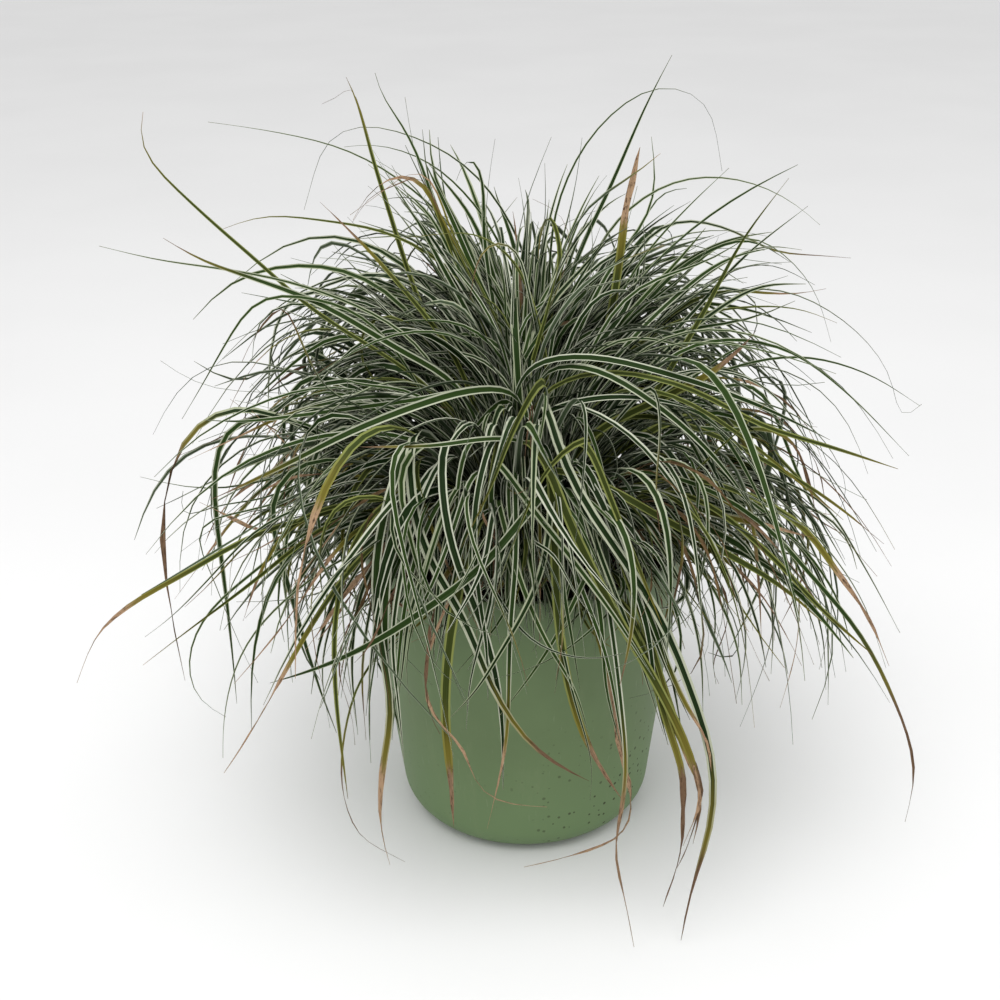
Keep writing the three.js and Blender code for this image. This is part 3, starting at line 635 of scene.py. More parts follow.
# Blades that stand out, each by its width, how late it tapers, its strip of the leaf chart (older
# ones come later) and the sights that it passes through after its root.
OUTSTANDING = {
    "wide arc to the left": (4.8, 5, 31, [
        (517, 396, 20), (469, 391, 50), (419, 405, 72), (350, 432, 88), (275, 470, 96), (210, 500, 98)]),
    "dark level one to the left": (4.1, 6, 2, [
        (515, 395, 15), (399, 403, 50), (305, 415, 60), (229, 422, 62), (204, 420, 62)]),
    "orange tip to the left": (3.8, 6, 31, [
        (528, 444, 60), (489, 439, 82), (433, 446, 94), (361, 447, 100)]),
    "arc to the right": (4.5, 6, 3, [
        (517, 390, 20), (544, 361, 45), (600, 358, 62), (656, 371, 68), (757, 405, 62), (830, 440, 54)]),
    "arc below it": (3.8, 6, 5, [
        (560, 366, 50), (600, 371, 66), (644, 396, 80), (690, 432, 92), (720, 463, 96), (760, 520, 98)]),
    "level one to the right": (3.8, 6, 13, [
        (530, 425, 40), (565, 405, 60), (610, 397, 72), (660, 400, 80), (700, 411, 84)]),
    "olive one to the right": (3.4, 6, 26, [
        (545, 392, 40), (600, 372, 60), (683, 386, 74), (762, 426, 76), (834, 448, 66), (898, 469, 50)]),
    "widest, on the right": (5.1, 6, 1, [
        (550, 405, 50), (594, 412, 74), (644, 448, 92), (682, 499, 104), (720, 558, 112), (744, 619, 116),
        (747, 647, 116), (736, 699, 116)]),
    "folded at the top": (4.8, 6, 27, [
        (545, 425, 60), (540, 380, 92), (514, 426, 112), (489, 490, 124), (461, 548, 130)]),
    "dead one at its foot": (2.9, 3, 43, [
        (531, 462, 80), (532, 402, 96), (527, 436, 104), (524, 466, 107)]),
    "kinked, to the left": (3.4, 6, 28, [
        (575, 470, 75), (589, 437, 98), (567, 447, 104), (544, 473, 112), (517, 532, 124),
        (497, 590, 132), (490, 637, 136)]),
    "kinked, to the right": (3.8, 6, 27, [
        (570, 470, 78), (585, 440, 96), (594, 457, 104), (614, 507, 114), (640, 570, 124),
        (662, 625, 130)]),
    "bold margins": (5, 8, 33, [
        (546, 400, 66), (556, 443, 92), (581, 498, 108), (622, 557, 120), (669, 634, 130),
        (690, 690, 136), (710, 747, 141), (712, 820, 144), (689, 895, 148), (681, 941, 152)]),
    "olive in front": (5, 8, 34, [
        (530, 441, 80), (542, 451, 92), (561, 504, 108), (586, 557, 118), (614, 612, 128),
        (660, 690, 138), (698, 779, 142), (702, 800, 142), (693, 844, 142)]),
    "dark across the front": (3.8, 6, 4, [
        (503, 468, 90), (531, 507, 106), (572, 559, 120), (617, 620, 130), (655, 680, 137)]),
    "dark, down to the left": (4.5, 6, 6, [
        (556, 480, 90), (528, 512, 106), (481, 568, 122), (433, 604, 132), (383, 637, 136),
        (318, 668, 132), (270, 683, 126)]),
    "long, with a tan end": (5.2, 7, 33, [
        (410, 440, 80), (410, 479, 94), (425, 551, 114), (461, 612, 128), (502, 705, 140),
        (544, 757, 144), (589, 781, 145)]),
    "long beside it": (4.5, 6, 7, [
        (442, 450, 84), (443, 501, 104), (456, 562, 120), (481, 621, 130), (500, 700, 138),
        (503, 790, 140)]),
    "olive at the left edge": (5, 8, 35, [
        (410, 440, 76), (392, 487, 100), (378, 546, 116), (376, 607, 126), (387, 673, 134),
        (392, 705, 136), (381, 780, 140), (381, 834, 142), (390, 865, 142)]),
    "green at the left edge": (4.9, 6, 9, [
        (400, 490, 92), (387, 576, 120), (385, 618, 126), (387, 673, 132), (402, 740, 136)]),
    "middle left": (3.4, 6, 10, [
        (489, 446, 84), (475, 507, 106), (478, 590, 126), (486, 640, 134), (488, 700, 138)]),
    "middle right": (5, 8, 34, [
        (551, 470, 88), (554, 534, 110), (558, 618, 128), (569, 689, 138), (592, 754, 142),
        (624, 802, 144)]),
    "crossing to the left": (4.1, 6, 12, [
        (552, 500, 100), (542, 571, 122), (498, 657, 138), (473, 695, 142), (450, 718, 143)]),
    "middle": (3.2, 4.5, 35, [
        (515, 480, 92), (516, 562, 118), (511, 617, 130), (509, 670, 137), (507, 736, 141),
        (498, 785, 143), (487, 829, 145)]),
    "tan end left of the middle": (5.5, 8, 34, [
        (478, 520, 96), (453, 618, 128), (445, 705, 140), (450, 773, 143), (454, 828, 143)]),
    "dead left of the middle": (3.1, 6, 43, [
        (440, 590, 120), (426, 666, 138), (431, 718, 141), (440, 734, 141)]),
    "tan wisp": (2.1, 6, 44, [
        (470, 560, 112), (445, 608, 126), (425, 670, 137), (432, 718, 142), (463, 745, 145),
        (481, 793, 148), (498, 802, 149), (547, 807, 150)]),
    "thin bow": (1.8, 3, 13, [
        (500, 600, 118), (531, 640, 134), (576, 658, 140), (627, 653, 140), (656, 641, 138)]),
    "thin right of the middle": (2.4, 3, 14, [
        (556, 620, 126), (573, 695, 140), (592, 770, 146), (590, 799, 146)]),
    "longest, to the ground": (3, 5, 39, [
        (600, 560, 112), (611, 624, 126), (621, 705, 138), (626, 773, 144), (621, 815, 147),
        (614, 850, 150), (624, 895, 156), (634, 947, 163)]),
    "brown tipped, right": (4.1, 6, 35, [
        (620, 545, 112), (650, 618, 128), (685, 705, 139), (710, 747, 142), (711, 780, 142)]),
    "brown strand, right": (4.2, 7, 40, [
        (640, 640, 128), (668, 728, 140), (675, 748, 141), (681, 765, 142), (684, 800, 144),
        (682, 830, 146), (680, 860, 147), (672, 880, 148), (663, 907, 150)]),
    "tan one behind it": (4, 7, 40, [
        (640, 630, 124), (668, 715, 136), (683, 745, 139), (697, 770, 141), (704, 785, 142),
        (700, 805, 143), (693, 828, 144), (686, 852, 145), (677, 868, 146)]),
    "brown strand beside it": (4.2, 7, 38, [
        (650, 650, 128), (674, 719, 139), (696, 776, 142), (703, 789, 143), (692, 824, 145),
        (683, 846, 146)]),
    "dry, towards the foot": (3.5, 6, 44, [
        (600, 640, 124), (618, 740, 132), (630, 818, 127), (620, 838, 123), (600, 846, 120),
        (556, 860, 117), (524, 867, 116)]),
    "left edge, inner": (3.2, 4.5, 2, [
        (440, 500, 92), (415, 560, 116), (403, 620, 128), (397, 680, 136), (392, 740, 140)]),
    "left, third": (3.2, 4.5, 21, [
        (455, 490, 92), (432, 550, 116), (419, 600, 127), (406, 670, 136), (410, 705, 138)]),
    "second, middle": (3.2, 4.5, 22, [
        (520, 500, 98), (500, 560, 118), (486, 620, 131), (470, 680, 138), (466, 730, 141)]),
    "third, middle": (3.4, 4.5, 16, [
        (500, 510, 98), (520, 580, 122), (545, 640, 133), (575, 690, 139), (590, 740, 142)]),
    "pale, right of the middle": (3.4, 4.5, 6, [
        (575, 500, 98), (590, 560, 116), (601, 620, 128), (606, 690, 138), (622, 750, 142)]),
    "straight, right of the middle": (2.8, 4, 17, [
        (570, 560, 112), (590, 610, 126), (604, 648, 133), (617, 710, 139), (626, 771, 142)]),
    "fourth, right": (3.7, 5, 3, [
        (590, 470, 92), (615, 540, 112), (640, 600, 124), (663, 660, 133), (690, 720, 138)]),
    "fifth, right": (3.4, 5, 12, [
        (580, 500, 98), (606, 570, 118), (630, 630, 130), (650, 690, 137), (664, 735, 140)]),
    "olive, right": (3.8, 5, 34, [
        (600, 500, 98), (628, 580, 120), (650, 640, 130), (668, 700, 137), (690, 760, 141),
        (701, 790, 142)]),
    "sixth, short": (3.2, 4.5, 19, [(560, 520, 104), (562, 580, 122), (572, 640, 132), (580, 690, 137)]),
    "crossing, low": (3, 4.5, 8, [
        (600, 540, 108), (575, 600, 124), (548, 650, 133), (520, 690, 138), (500, 715, 140)]),
    "crossing, lower": (2.5, 3, 15, [(620, 600, 118), (580, 640, 131), (540, 665, 136), (490, 680, 138)]),
    "over the rim, left": (3.2, 4.5, 9, [
        (470, 480, 90), (450, 540, 112), (430, 590, 124), (400, 640, 130), (372, 665, 131)]),
    "beside the left edge": (3.8, 5, 11, [
        (430, 470, 84), (398, 540, 112), (380, 600, 126), (372, 650, 132), (368, 700, 136)]),
    "second, left edge": (3.4, 5, 20, [
        (440, 460, 80), (412, 530, 108), (398, 590, 124), (392, 640, 131), (398, 700, 138),
        (404, 760, 141)]),
    "short, left of the middle": (3.8, 4.5, 12, [
        (450, 500, 96), (425, 570, 120), (408, 620, 129), (403, 665, 134), (398, 700, 137)]),
    "pale, left of the middle": (3.4, 4.5, 14, [
        (455, 510, 96), (440, 570, 118), (436, 620, 129), (432, 670, 135)]),
    "green, front right": (4.1, 6, 5, [
        (600, 500, 100), (640, 575, 120), (662, 640, 131), (676, 700, 137), (684, 750, 140)]),
    "pale, front right": (3.8, 5, 13, [
        (590, 480, 96), (625, 560, 118), (648, 630, 130), (655, 690, 137), (668, 745, 141)]),
    "thin, curving back, right": (2.5, 3, 10, [
        (700, 470, 60), (765, 520, 76), (776, 590, 80), (770, 645, 81), (755, 690, 81), (740, 727, 81)]),
    "brown thin, right": (2.1, 3, 36, [
        (720, 480, 50), (785, 530, 62), (799, 600, 66), (796, 650, 67), (780, 708, 67)]),
    "thin, right of the rim": (2.4, 3, 5, [
        (660, 500, 84), (700, 560, 96), (716, 620, 100), (712, 660, 100), (716, 684, 100)]),
    "thin left edge": (2, 3, 15, [(395, 560, 112), (377, 650, 128), (369, 705, 130), (371, 763, 131)]),
    "hair at the left edge": (1.4, 3, 40, [
        (352, 700, 126), (350, 818, 134), (363, 841, 135), (381, 849, 135), (405, 862, 135)]),
    "pale, down to the right": (4.1, 6, 25, [
        (560, 470, 84), (600, 484, 92), (661, 518, 102), (729, 555, 108), (784, 588, 110),
        (822, 622, 110)]),
    "bent straight down": (3.1, 6, 33, [
        (640, 396, 72), (655, 384, 84), (661, 421, 96), (656, 496, 110), (662, 546, 116)]),
    "long brown end, left": (3.9, 5, 36, [
        (430, 480, 60), (340, 510, 84), (258, 534, 96), (182, 576, 100), (141, 598, 100), (99, 631, 97),
        (77, 683, 94)]),
    "thin dark, left": (2.6, 3, 3, [
        (380, 490, 76), (258, 529, 98), (211, 577, 104), (167, 621, 107), (145, 637, 107)]),
    "looped, left": (2.2, 3, 16, [
        (330, 520, 74), (250, 575, 84), (205, 617, 87), (189, 654, 88), (202, 704, 88), (226, 717, 88)]),
    "thin, left of the pot": (2.8, 4, 14, [
        (400, 520, 96), (362, 590, 112), (352, 660, 117), (358, 735, 119)]),
    "second, left of the pot": (2.4, 4, 22, [
        (390, 530, 92), (340, 600, 108), (322, 670, 113), (330, 728, 114)]),
    "third, left of the pot": (2.4, 4, 10, [
        (410, 530, 100), (386, 600, 118), (372, 660, 124), (366, 716, 126)]),
    "fourth, left of the pot": (2.6, 4, 6, [
        (420, 520, 100), (388, 590, 116), (372, 650, 124), (370, 740, 128)]),
    "fifth, left of the pot": (2.4, 4, 33, [
        (400, 520, 96), (372, 600, 112), (362, 670, 118), (366, 740, 120)]),
    "hanging, left": (2.4, 4, 19, [(360, 500, 70), (316, 560, 86), (296, 620, 90), (290, 676, 90)]),
    "hair, left": (1.8, 3, 17, [
        (380, 480, 50), (258, 509, 62), (194, 530, 66), (208, 565, 67), (244, 654, 68), (258, 683, 68)]),
    "olive to brown, left": (3.9, 5, 38, [
        (430, 505, 84), (350, 570, 120), (311, 627, 130), (276, 689, 137), (241, 748, 139),
        (224, 773, 139)]),
    "dead, left": (4.2, 7, 44, [(430, 510, 90), (373, 559, 112), (335, 609, 122), (305, 651, 126)]),
    "dead beside it": (3.4, 7, 45, [(425, 520, 90), (368, 570, 110), (340, 612, 118), (318, 640, 120)]),
    "olive, hanging left": (3.1, 6, 28, [
        (420, 480, 86), (364, 524, 108), (336, 612, 126), (335, 680, 132), (344, 768, 136),
        (348, 799, 136)]),
    "brown wisp, left": (1.8, 3, 43, [(390, 560, 110), (338, 674, 128), (352, 715, 129), (355, 745, 129)]),
    "hanging hair, left": (1.6, 3, 18, [(340, 560, 92), (246, 645, 100), (223, 730, 101), (223, 758, 101)]),
    "brown tip, left": (3.3, 6, 34, [(380, 500, 78), (294, 524, 92), (264, 565, 98), (243, 621, 99)]),
    "brown tip, far left": (3.3, 3, 35, [(420, 400, 40), (300, 410, 56), (223, 444, 62), (188, 460, 63)]),
    "curled hair, far left": (1.6, 3, 19, [
        (380, 450, 36), (258, 500, 46), (214, 506, 48), (180, 518, 48), (183, 491, 47)]),
    "straight, upper left": (3.2, 3.5, 29, [
        (440, 400, 0), (300, 300, -12), (261, 265, -16), (188, 200, -28), (145, 155, -34),
        (137, 140, -36), (143, 112, -38)]),
    "wide, upper left": (4.5, 3.5, 31, [
        (450, 380, 10), (399, 350, 18), (314, 301, 20), (252, 278, 17), (199, 259, 12), (163, 238, 6)]),
    "thin, upper left": (2.5, 3, 4, [
        (400, 330, 5), (300, 285, -2), (223, 269, -6), (158, 260, -10), (99, 246, -14)]),
    "thin olive, upper left": (2.5, 3, 28, [
        (480, 300, -30), (394, 235, -42), (326, 221, -46), (252, 218, -46), (223, 229, -44)]),
    "broken, left": (3.3, 6, 37, [
        (390, 420, 50), (324, 387, 62), (299, 338, 66), (280, 301, 66), (273, 315, 68), (258, 329, 69),
        (242, 362, 70)]),
    "bowed, left": (2.6, 3, 8, [
        (320, 300, 20), (258, 299, 28), (229, 338, 34), (204, 382, 38), (182, 419, 40)]),
    "olive, top left": (3.3, 7, 28, [
        (450, 380, -20), (403, 257, -46), (389, 212, -54), (372, 157, -64), (360, 112, -71),
        (350, 83, -74), (346, 77, -75)]),
    "its hair end": (0.9, 3, 40, [
        (450, 380, -24), (390, 215, -56), (362, 115, -73), (348, 78, -75), (345, 92, -76),
        (335, 103, -77), (322, 104, -78)]),
    "dark, top left": (3.6, 3, 2, [
        (490, 370, -20), (447, 260, -48), (437, 215, -57), (425, 175, -65), (408, 135, -74),
        (392, 110, -79), (379, 92, -84), (375, 73, -86)]),
    "bowed, top left": (3.4, 7, 9, [(520, 380, -20), (498, 290, -40), (470, 215, -56), (428, 163, -70)]),
    "second bowed, top left": (3.4, 7, 12, [
        (510, 370, -20), (480, 280, -36), (446, 222, -50), (410, 196, -58), (382, 200, -62)]),
    "third bowed, top left": (3.4, 7, 18, [
        (505, 370, -16), (455, 262, -36), (424, 208, -50), (398, 186, -57)]),
    "dark arch, top left": (3.2, 6, 36, [
        (490, 340, -20), (450, 245, -40), (433, 200, -48), (419, 178, -52), (400, 174, -54),
        (382, 182, -55), (365, 197, -55), (353, 220, -54)]),
    "second dark, top left": (3.5, 8, 2, [
        (500, 330, -24), (470, 262, -38), (450, 215, -47), (424, 160, -58)]),
    "third dark, top left": (3.4, 8, 5, [
        (480, 340, -16), (440, 262, -34), (414, 215, -42), (396, 193, -46)]),
    "fourth dark, top left": (3.4, 8, 11, [
        (500, 350, -16), (455, 275, -34), (428, 232, -42), (401, 201, -48)]),
    "fifth dark, top left": (3.2, 7, 4, [
        (470, 330, -20), (424, 250, -38), (392, 206, -47), (368, 186, -52)]),
    "sixth dark, top left": (2.8, 6, 16, [
        (480, 300, -28), (440, 226, -46), (408, 180, -56), (376, 160, -61)]),
    "hair beside it": (1.4, 3, 7, [(480, 330, -40), (440, 220, -60), (414, 150, -74), (405, 97, -82)]),
    "second thin arch": (2, 3, 15, [
        (530, 340, -50), (475, 205, -80), (430, 163, -88), (390, 147, -92), (365, 144, -94),
        (344, 147, -95)]),
    "brown kinked, top left": (1.6, 4, 40, [
        (490, 330, -24), (440, 215, -42), (415, 170, -48), (396, 190, -47), (384, 186, -47),
        (362, 206, -46), (352, 223, -46)]),
    "brown straight, top left": (1.5, 4, 38, [
        (500, 330, -20), (455, 240, -40), (417, 168, -52), (385, 190, -52), (350, 215, -50)]),
    "folded, top left": (3, 6, 5, [
        (505, 380, -10), (484, 236, -48), (479, 167, -56), (472, 153, -57), (461, 164, -55),
        (456, 181, -52)]),
    "folded, top": (3.4, 6, 27, [
        (545, 340, -30), (558, 236, -56), (548, 210, -62), (541, 229, -60), (538, 262, -56)]),
    "straight, top right": (3.6, 3.5, 3, [
        (550, 380, -20), (575, 264, -54), (610, 188, -68), (651, 95, -84), (672, 55, -92)]),
    "thin arch, top right": (2.2, 2, 6, [
        (548, 300, -72), (558, 202, -96), (603, 122, -116), (658, 86, -128), (703, 98, -136),
        (722, 171, -142)]),
    "broad brown tip, top": (5, 30, 36, [
        (590, 400, -10), (612, 310, -34), (620, 260, -44), (627, 205, -53), (633, 175, -58),
        (640, 147, -62)]),
    "thin arch, top left": (2.3, 3, 7, [
        (540, 320, -60), (510, 222, -88), (472, 171, -98), (406, 134, -108), (350, 126, -112),
        (325, 140, -112), (314, 175, -110), (304, 210, -106)]),
    "far arch, top left": (2.1, 2.4, 9, [
        (500, 300, -50), (423, 198, -76), (354, 153, -86), (270, 131, -94), (208, 122, -98)]),
    "olive fold, top": (3.3, 3, 26, [
        (540, 330, -10), (503, 250, -30), (472, 233, -34), (444, 234, -36), (400, 238, -38)]),
    "pale curve, top": (3, 3, 33, [
        (530, 300, -14), (508, 243, -24), (492, 241, -26), (479, 257, -22), (470, 300, -12)]),
    "brown tip, top left": (3.3, 4.5, 34, [
        (450, 350, -10), (396, 281, -22), (348, 229, -32), (320, 202, -36)]),
    "thin arch, right": (2.1, 3.5, 4, [
        (570, 320, -60), (620, 217, -84), (676, 181, -98), (731, 178, -106), (801, 208, -112),
        (820, 225, -113)]),
    "thin straight, top right": (2.2, 3, 8, [
        (600, 340, -30), (640, 262, -50), (690, 205, -68), (729, 168, -80)]),
    "level, upper right": (3.2, 6, 14, [
        (610, 370, -10), (690, 300, -30), (745, 266, -44), (792, 262, -50)]),
    "second level, upper right": (3.4, 6, 19, [
        (620, 340, -30), (690, 262, -50), (750, 240, -62), (790, 262, -66)]),
    "third level, upper right": (3.4, 6, 9, [
        (600, 380, -6), (672, 300, -26), (730, 258, -44), (776, 247, -54)]),
    "fourth level, upper right": (3.4, 6, 12, [
        (630, 390, -4), (706, 318, -22), (762, 286, -36), (806, 284, -44)]),
    "fifth level, upper right": (3.2, 6, 21, [
        (610, 330, -30), (676, 268, -50), (728, 240, -62), (772, 232, -68)]),
    "thin, upper right": (2.6, 5, 7, [(640, 350, -20), (712, 280, -40), (768, 264, -52), (815, 285, -58)]),
    "second thin, upper right": (2.4, 5, 20, [
        (650, 330, -34), (716, 268, -52), (764, 246, -62), (802, 250, -66)]),
    "olive, upper right": (3.3, 3.5, 25, [
        (650, 400, 0), (701, 317, -16), (745, 236, -36), (789, 178, -50)]),
    "straight, upper right": (3, 3.5, 10, [
        (620, 390, -10), (689, 317, -30), (745, 256, -50), (808, 206, -66)]),
    "brown tip, upper right": (2.6, 3.5, 33, [
        (600, 320, -40), (670, 222, -70), (745, 236, -84), (770, 251, -88), (814, 255, -94),
        (851, 258, -98)]),
    "bowed olive, right": (3.4, 3, 27, [
        (610, 370, -14), (676, 322, -32), (739, 308, -46), (803, 310, -58), (837, 323, -64)]),
    "bowed, right": (3, 3, 12, [(640, 410, 10), (712, 367, 0), (770, 392, -2), (801, 428, -2)]),
    "long hair, right": (2, 3, 14, [
        (700, 300, -50), (776, 289, -62), (842, 319, -68), (892, 378, -70), (903, 425, -70),
        (922, 404, -72)]),
    "far bow, right": (2.5, 3.5, 6, [(700, 380, 0), (803, 357, -8), (870, 375, -10), (920, 406, -12)]),
    "wide brown one, right": (4.5, 8, 34, [
        (600, 430, 50), (664, 397, 60), (712, 372, 62), (742, 347, 58), (756, 331, 54)]),
    "short bow, right": (3.3, 3, 15, [(690, 380, -2), (759, 344, -12), (789, 389, -12), (795, 406, -12)]),
    "thin bow, right": (2.4, 3.5, 16, [(660, 300, -50), (745, 236, -76), (814, 289, -86), (831, 342, -88)]),
    "dark bow, right": (3.4, 3, 2, [
        (620, 400, 30), (703, 342, 10), (787, 350, 2), (842, 389, 0), (909, 456, -2)]),
    "drooping, right": (2.5, 3, 11, [(690, 370, 26), (754, 380, 20), (812, 449, 18), (834, 487, 18)]),
    "looped, right": (2.4, 3, 17, [
        (740, 400, 20), (790, 412, 18), (834, 455, 17), (847, 499, 17), (832, 523, 17)]),
    "broken, right": (3.9, 7, 37, [
        (640, 430, 30), (734, 431, 50), (779, 431, 52), (796, 447, 52), (807, 477, 52), (818, 522, 52)]),
    "brown tip, right": (3.7, 7, 32, [
        (640, 415, 50), (700, 430, 60), (779, 469, 68), (834, 504, 70), (884, 544, 66)]),
    "brown tip below it": (4.4, 7, 35, [(650, 490, 80), (709, 513, 90), (773, 527, 95), (814, 538, 95)]),
    "long brown end, right": (3.5, 6, 37, [
        (650, 470, 80), (762, 522, 98), (807, 572, 102), (851, 622, 100), (893, 699, 92), (915, 780, 84),
        (905, 822, 84)]),
    "brown end beside it": (3.9, 7, 38, [
        (700, 480, 80), (812, 536, 94), (834, 569, 98), (862, 605, 98), (889, 666, 94)]),
    "olive, lower right": (3.4, 6, 28, [(700, 500, 88), (773, 558, 102), (823, 611, 104), (873, 655, 100)]),
    "thin, beside the pot": (2.6, 4, 12, [
        (640, 520, 96), (684, 590, 110), (700, 650, 114), (703, 718, 116)]),
    "second, beside the pot": (2.4, 4, 18, [
        (660, 520, 88), (714, 590, 98), (738, 650, 100), (742, 705, 100)]),
    "hanging, right": (3.3, 3, 20, [(700, 500, 66), (757, 547, 76), (773, 624, 80), (771, 674, 80)]),
    "hanging further right": (3, 4, 21, [(740, 500, 50), (818, 574, 60), (828, 658, 62), (828, 705, 62)]),
    "second hanging, right": (2.6, 4, 13, [(760, 490, 50), (812, 560, 60), (836, 618, 63), (846, 672, 63)]),
    "third hanging, right": (2.4, 4, 5, [(750, 500, 54), (800, 570, 63), (822, 630, 66), (826, 690, 66)]),
    "bowed, lower right": (2.6, 4, 8, [(730, 490, 60), (800, 545, 72), (838, 600, 76), (852, 650, 76)]),
    "thin, lower right": (2, 3, 17, [(720, 500, 66), (780, 560, 76), (812, 620, 79), (822, 668, 79)]),
    "hair, lower right": (1.6, 3, 23, [(750, 480, 50), (820, 540, 58), (862, 600, 60), (886, 668, 59)]),
    "hair, right": (2, 3, 22, [(740, 470, 40), (818, 499, 46), (862, 563, 48), (900, 633, 48)]),
    "brown curl, right": (2.5, 3, 43, [
        (690, 540, 70), (729, 611, 80), (719, 648, 80), (711, 669, 79), (719, 684, 79)]),
}


def ruled_draws(seed, count, each):
    """Repeatable draws, some for each blade: a number is the one before it times 1664525 plus
    1013904223, modulo 2^32, and the draw is its share of 2^32."""
    state, draws = seed, []
    for _ in range(count * each):
        state = (state * 1664525 + 1013904223) % 2 ** 32
        draws.append(state / 2 ** 32)
    return np.array(draws).reshape(count, each)


def between(limits, share):
    """The value at a share of the way from the first limit to the second."""
    return limits[0] + (limits[1] - limits[0]) * share


def outwards(heading):
    """Level unit vectors (cos, sin, 0) at headings."""
    return np.stack([np.cos(heading), np.sin(heading), 0 * heading], -1)


def chord(heading, angle, length):
    """A straight half blade: outwards by length cos(angle) and up by length sin(angle)."""
    level = outwards(heading) * (length * np.cos(angle))[:, None]
    return level + UP * (length * np.sin(angle))[:, None]


def root_on(heading, share):
    """The root in the stool: near the axis for a steep blade (share 0), far out for a low one."""
    out = (STOOL_RADIUS - ROOT_SINK) * np.sqrt(share)
    rise = np.maximum((STOOL_HEIGHT - ROOT_SINK) * np.sqrt(1 - share), LOWEST_ROOT)
    return outwards(heading) * out[:, None] + UP * (SOIL_TOP + rise)[:, None]


def ruled_blades(tuft, share, fan, draws):
    """Root, arch and tip of blades placed by rule: the inner half rises at one angle and the outer
    half falls away at another, lower for the lowest blades."""
    steep, low = np.sin(np.radians(tuft["lifts"]))
    lift = np.degrees(np.arcsin(steep + (low - steep) * share)) + LIFT_STRAY * (draws[:, 0] - 0.5)
    spread = (TUFT_SECTOR - 2 * SECTOR_EDGE) * (fan - 0.5)
    heading = np.radians(tuft["heading"] + spread + HEADING_STRAY * (draws[:, 1] - 0.5))
    half = between(tuft["lengths"], draws[:, 2]) / 2
    fall = lift - between(tuft["droops"], draws[:, 3]) - tuft["sag"] * share
    root = root_on(heading, share)
    aside = np.cross(UP, outwards(heading)) * (SWAY * (draws[:, 4] - 0.5))[:, None]
    arch = root + chord(heading, np.radians(lift), half) + SWAY_AT_ARCH * aside
    tip = arch + chord(heading, np.radians(fall), half) + (1 - SWAY_AT_ARCH) * aside
    return root, arch, tip, between(BLADE_WIDTHS, draws[:, 5]), BLADE_ROLL * (draws[:, 6] - 0.5)


def threaded(points, along):
    """A curve through the points, laid out evenly by length: each stretch is a cubic that leaves a
    point along the line between that point's two neighbours."""
    spans = np.linalg.norm(np.diff(points, axis=0), axis=1)
    knots = np.concatenate([[0], np.cumsum(spans)])
    lean = np.gradient(points, knots, axis=0)
    places = np.linspace(0, knots[-1], CURVE_STEPS)
    at = np.clip(np.searchsorted(knots, places, "right") - 1, 0, len(spans) - 1)
    span = spans[at][:, None]
    t = (places - knots[at])[:, None] / span
    start, end = points[at], points[at + 1]
    curve = (start * (1 + 2 * t) * (1 - t) ** 2 + end * t * t * (3 - 2 * t)
             + span * t * (1 - t) * (lean[at] * (1 - t) - lean[at + 1] * t))
    run = np.concatenate([[0], np.cumsum(np.linalg.norm(np.diff(curve, axis=0), axis=1))])
    return np.stack([np.interp(along * run[-1], run, curve[:, axis]) for axis in range(3)], 1)


def outstanding_blades(heading, along):
    """The blades that stand out and lean closest to a tuft's heading, each threaded from a root in
    the stool through its sights."""
    paths, widths, tapers, strips = [], [], [], []
    for width, taper, strip, sights in OUTSTANDING.values():
        places = seen(sights)
        middle = places[len(places) // 2]
        facing = math.degrees(math.atan2(middle[1], middle[0]))
        if abs((facing - heading + 180) % 360 - 180) > TUFT_SECTOR / 2:
            continue
        first = places[0]
        reach = np.hypot(first[0], first[1])
        share = np.clip(reach / (reach + np.maximum(places[:, 2].max() - SOIL_TOP, 1)), 0, 1)
        root = root_on(np.array([math.atan2(first[1], first[0])]), np.array([share]))
        paths.append(threaded(np.concatenate([root, places]), along))
        widths.append(width)
        tapers.append(taper)
        strips.append(strip)
    return np.array(paths), np.array(widths), np.array(tapers), np.array(strips)


def arcs(root, arch, tip, along):
    """Points on the curve root (1-t)² + 2 bend t (1-t) + tip t², whose middle lies on the arch."""
    t = along[None, :, None]
    bend = (2 * arch - (root + tip) / 2)[:, None]
    return root[:, None] * (1 - t) ** 2 + 2 * bend * t * (1 - t) + tip[:, None] * t ** 2


def level_across(path):
    """For each blade the level unit vector square to the line from its root to its tip."""
    away = path[:, -1] - path[:, 0]
    away[:, 2] = 1e-6
    return np.cross(UP, away / np.linalg.norm(away, axis=1, keepdims=True))[:, None]


def curled(path, along, curl, wave, waves, phase, turn):
    """Each step of a path turned by curl t³ + wave t sin(2 pi waves t + phase), in a plane set by
    turn, and the steps laid end to end again."""
    steps = np.diff(path, axis=1)
    length = np.linalg.norm(steps, axis=2, keepdims=True)
    ahead = steps / length
    level = level_across(path)
    above = np.cross(ahead, level)
    t = ((along[1:] + along[:-1]) / 2)[None]
    angle = curl[:, None] * t ** 3
    angle = angle + wave[:, None] * t * np.sin(2 * np.pi * waves[:, None] * t + phase[:, None])
    plane = np.cos(turn)[:, None, None] * above + np.sin(turn)[:, None, None] * level
    turned_steps = np.cos(angle)[..., None] * ahead + np.sin(angle)[..., None] * plane
    laid = np.cumsum(turned_steps * length, axis=1)
    return np.concatenate([path[:, :1], path[:, :1] + laid], axis=1)


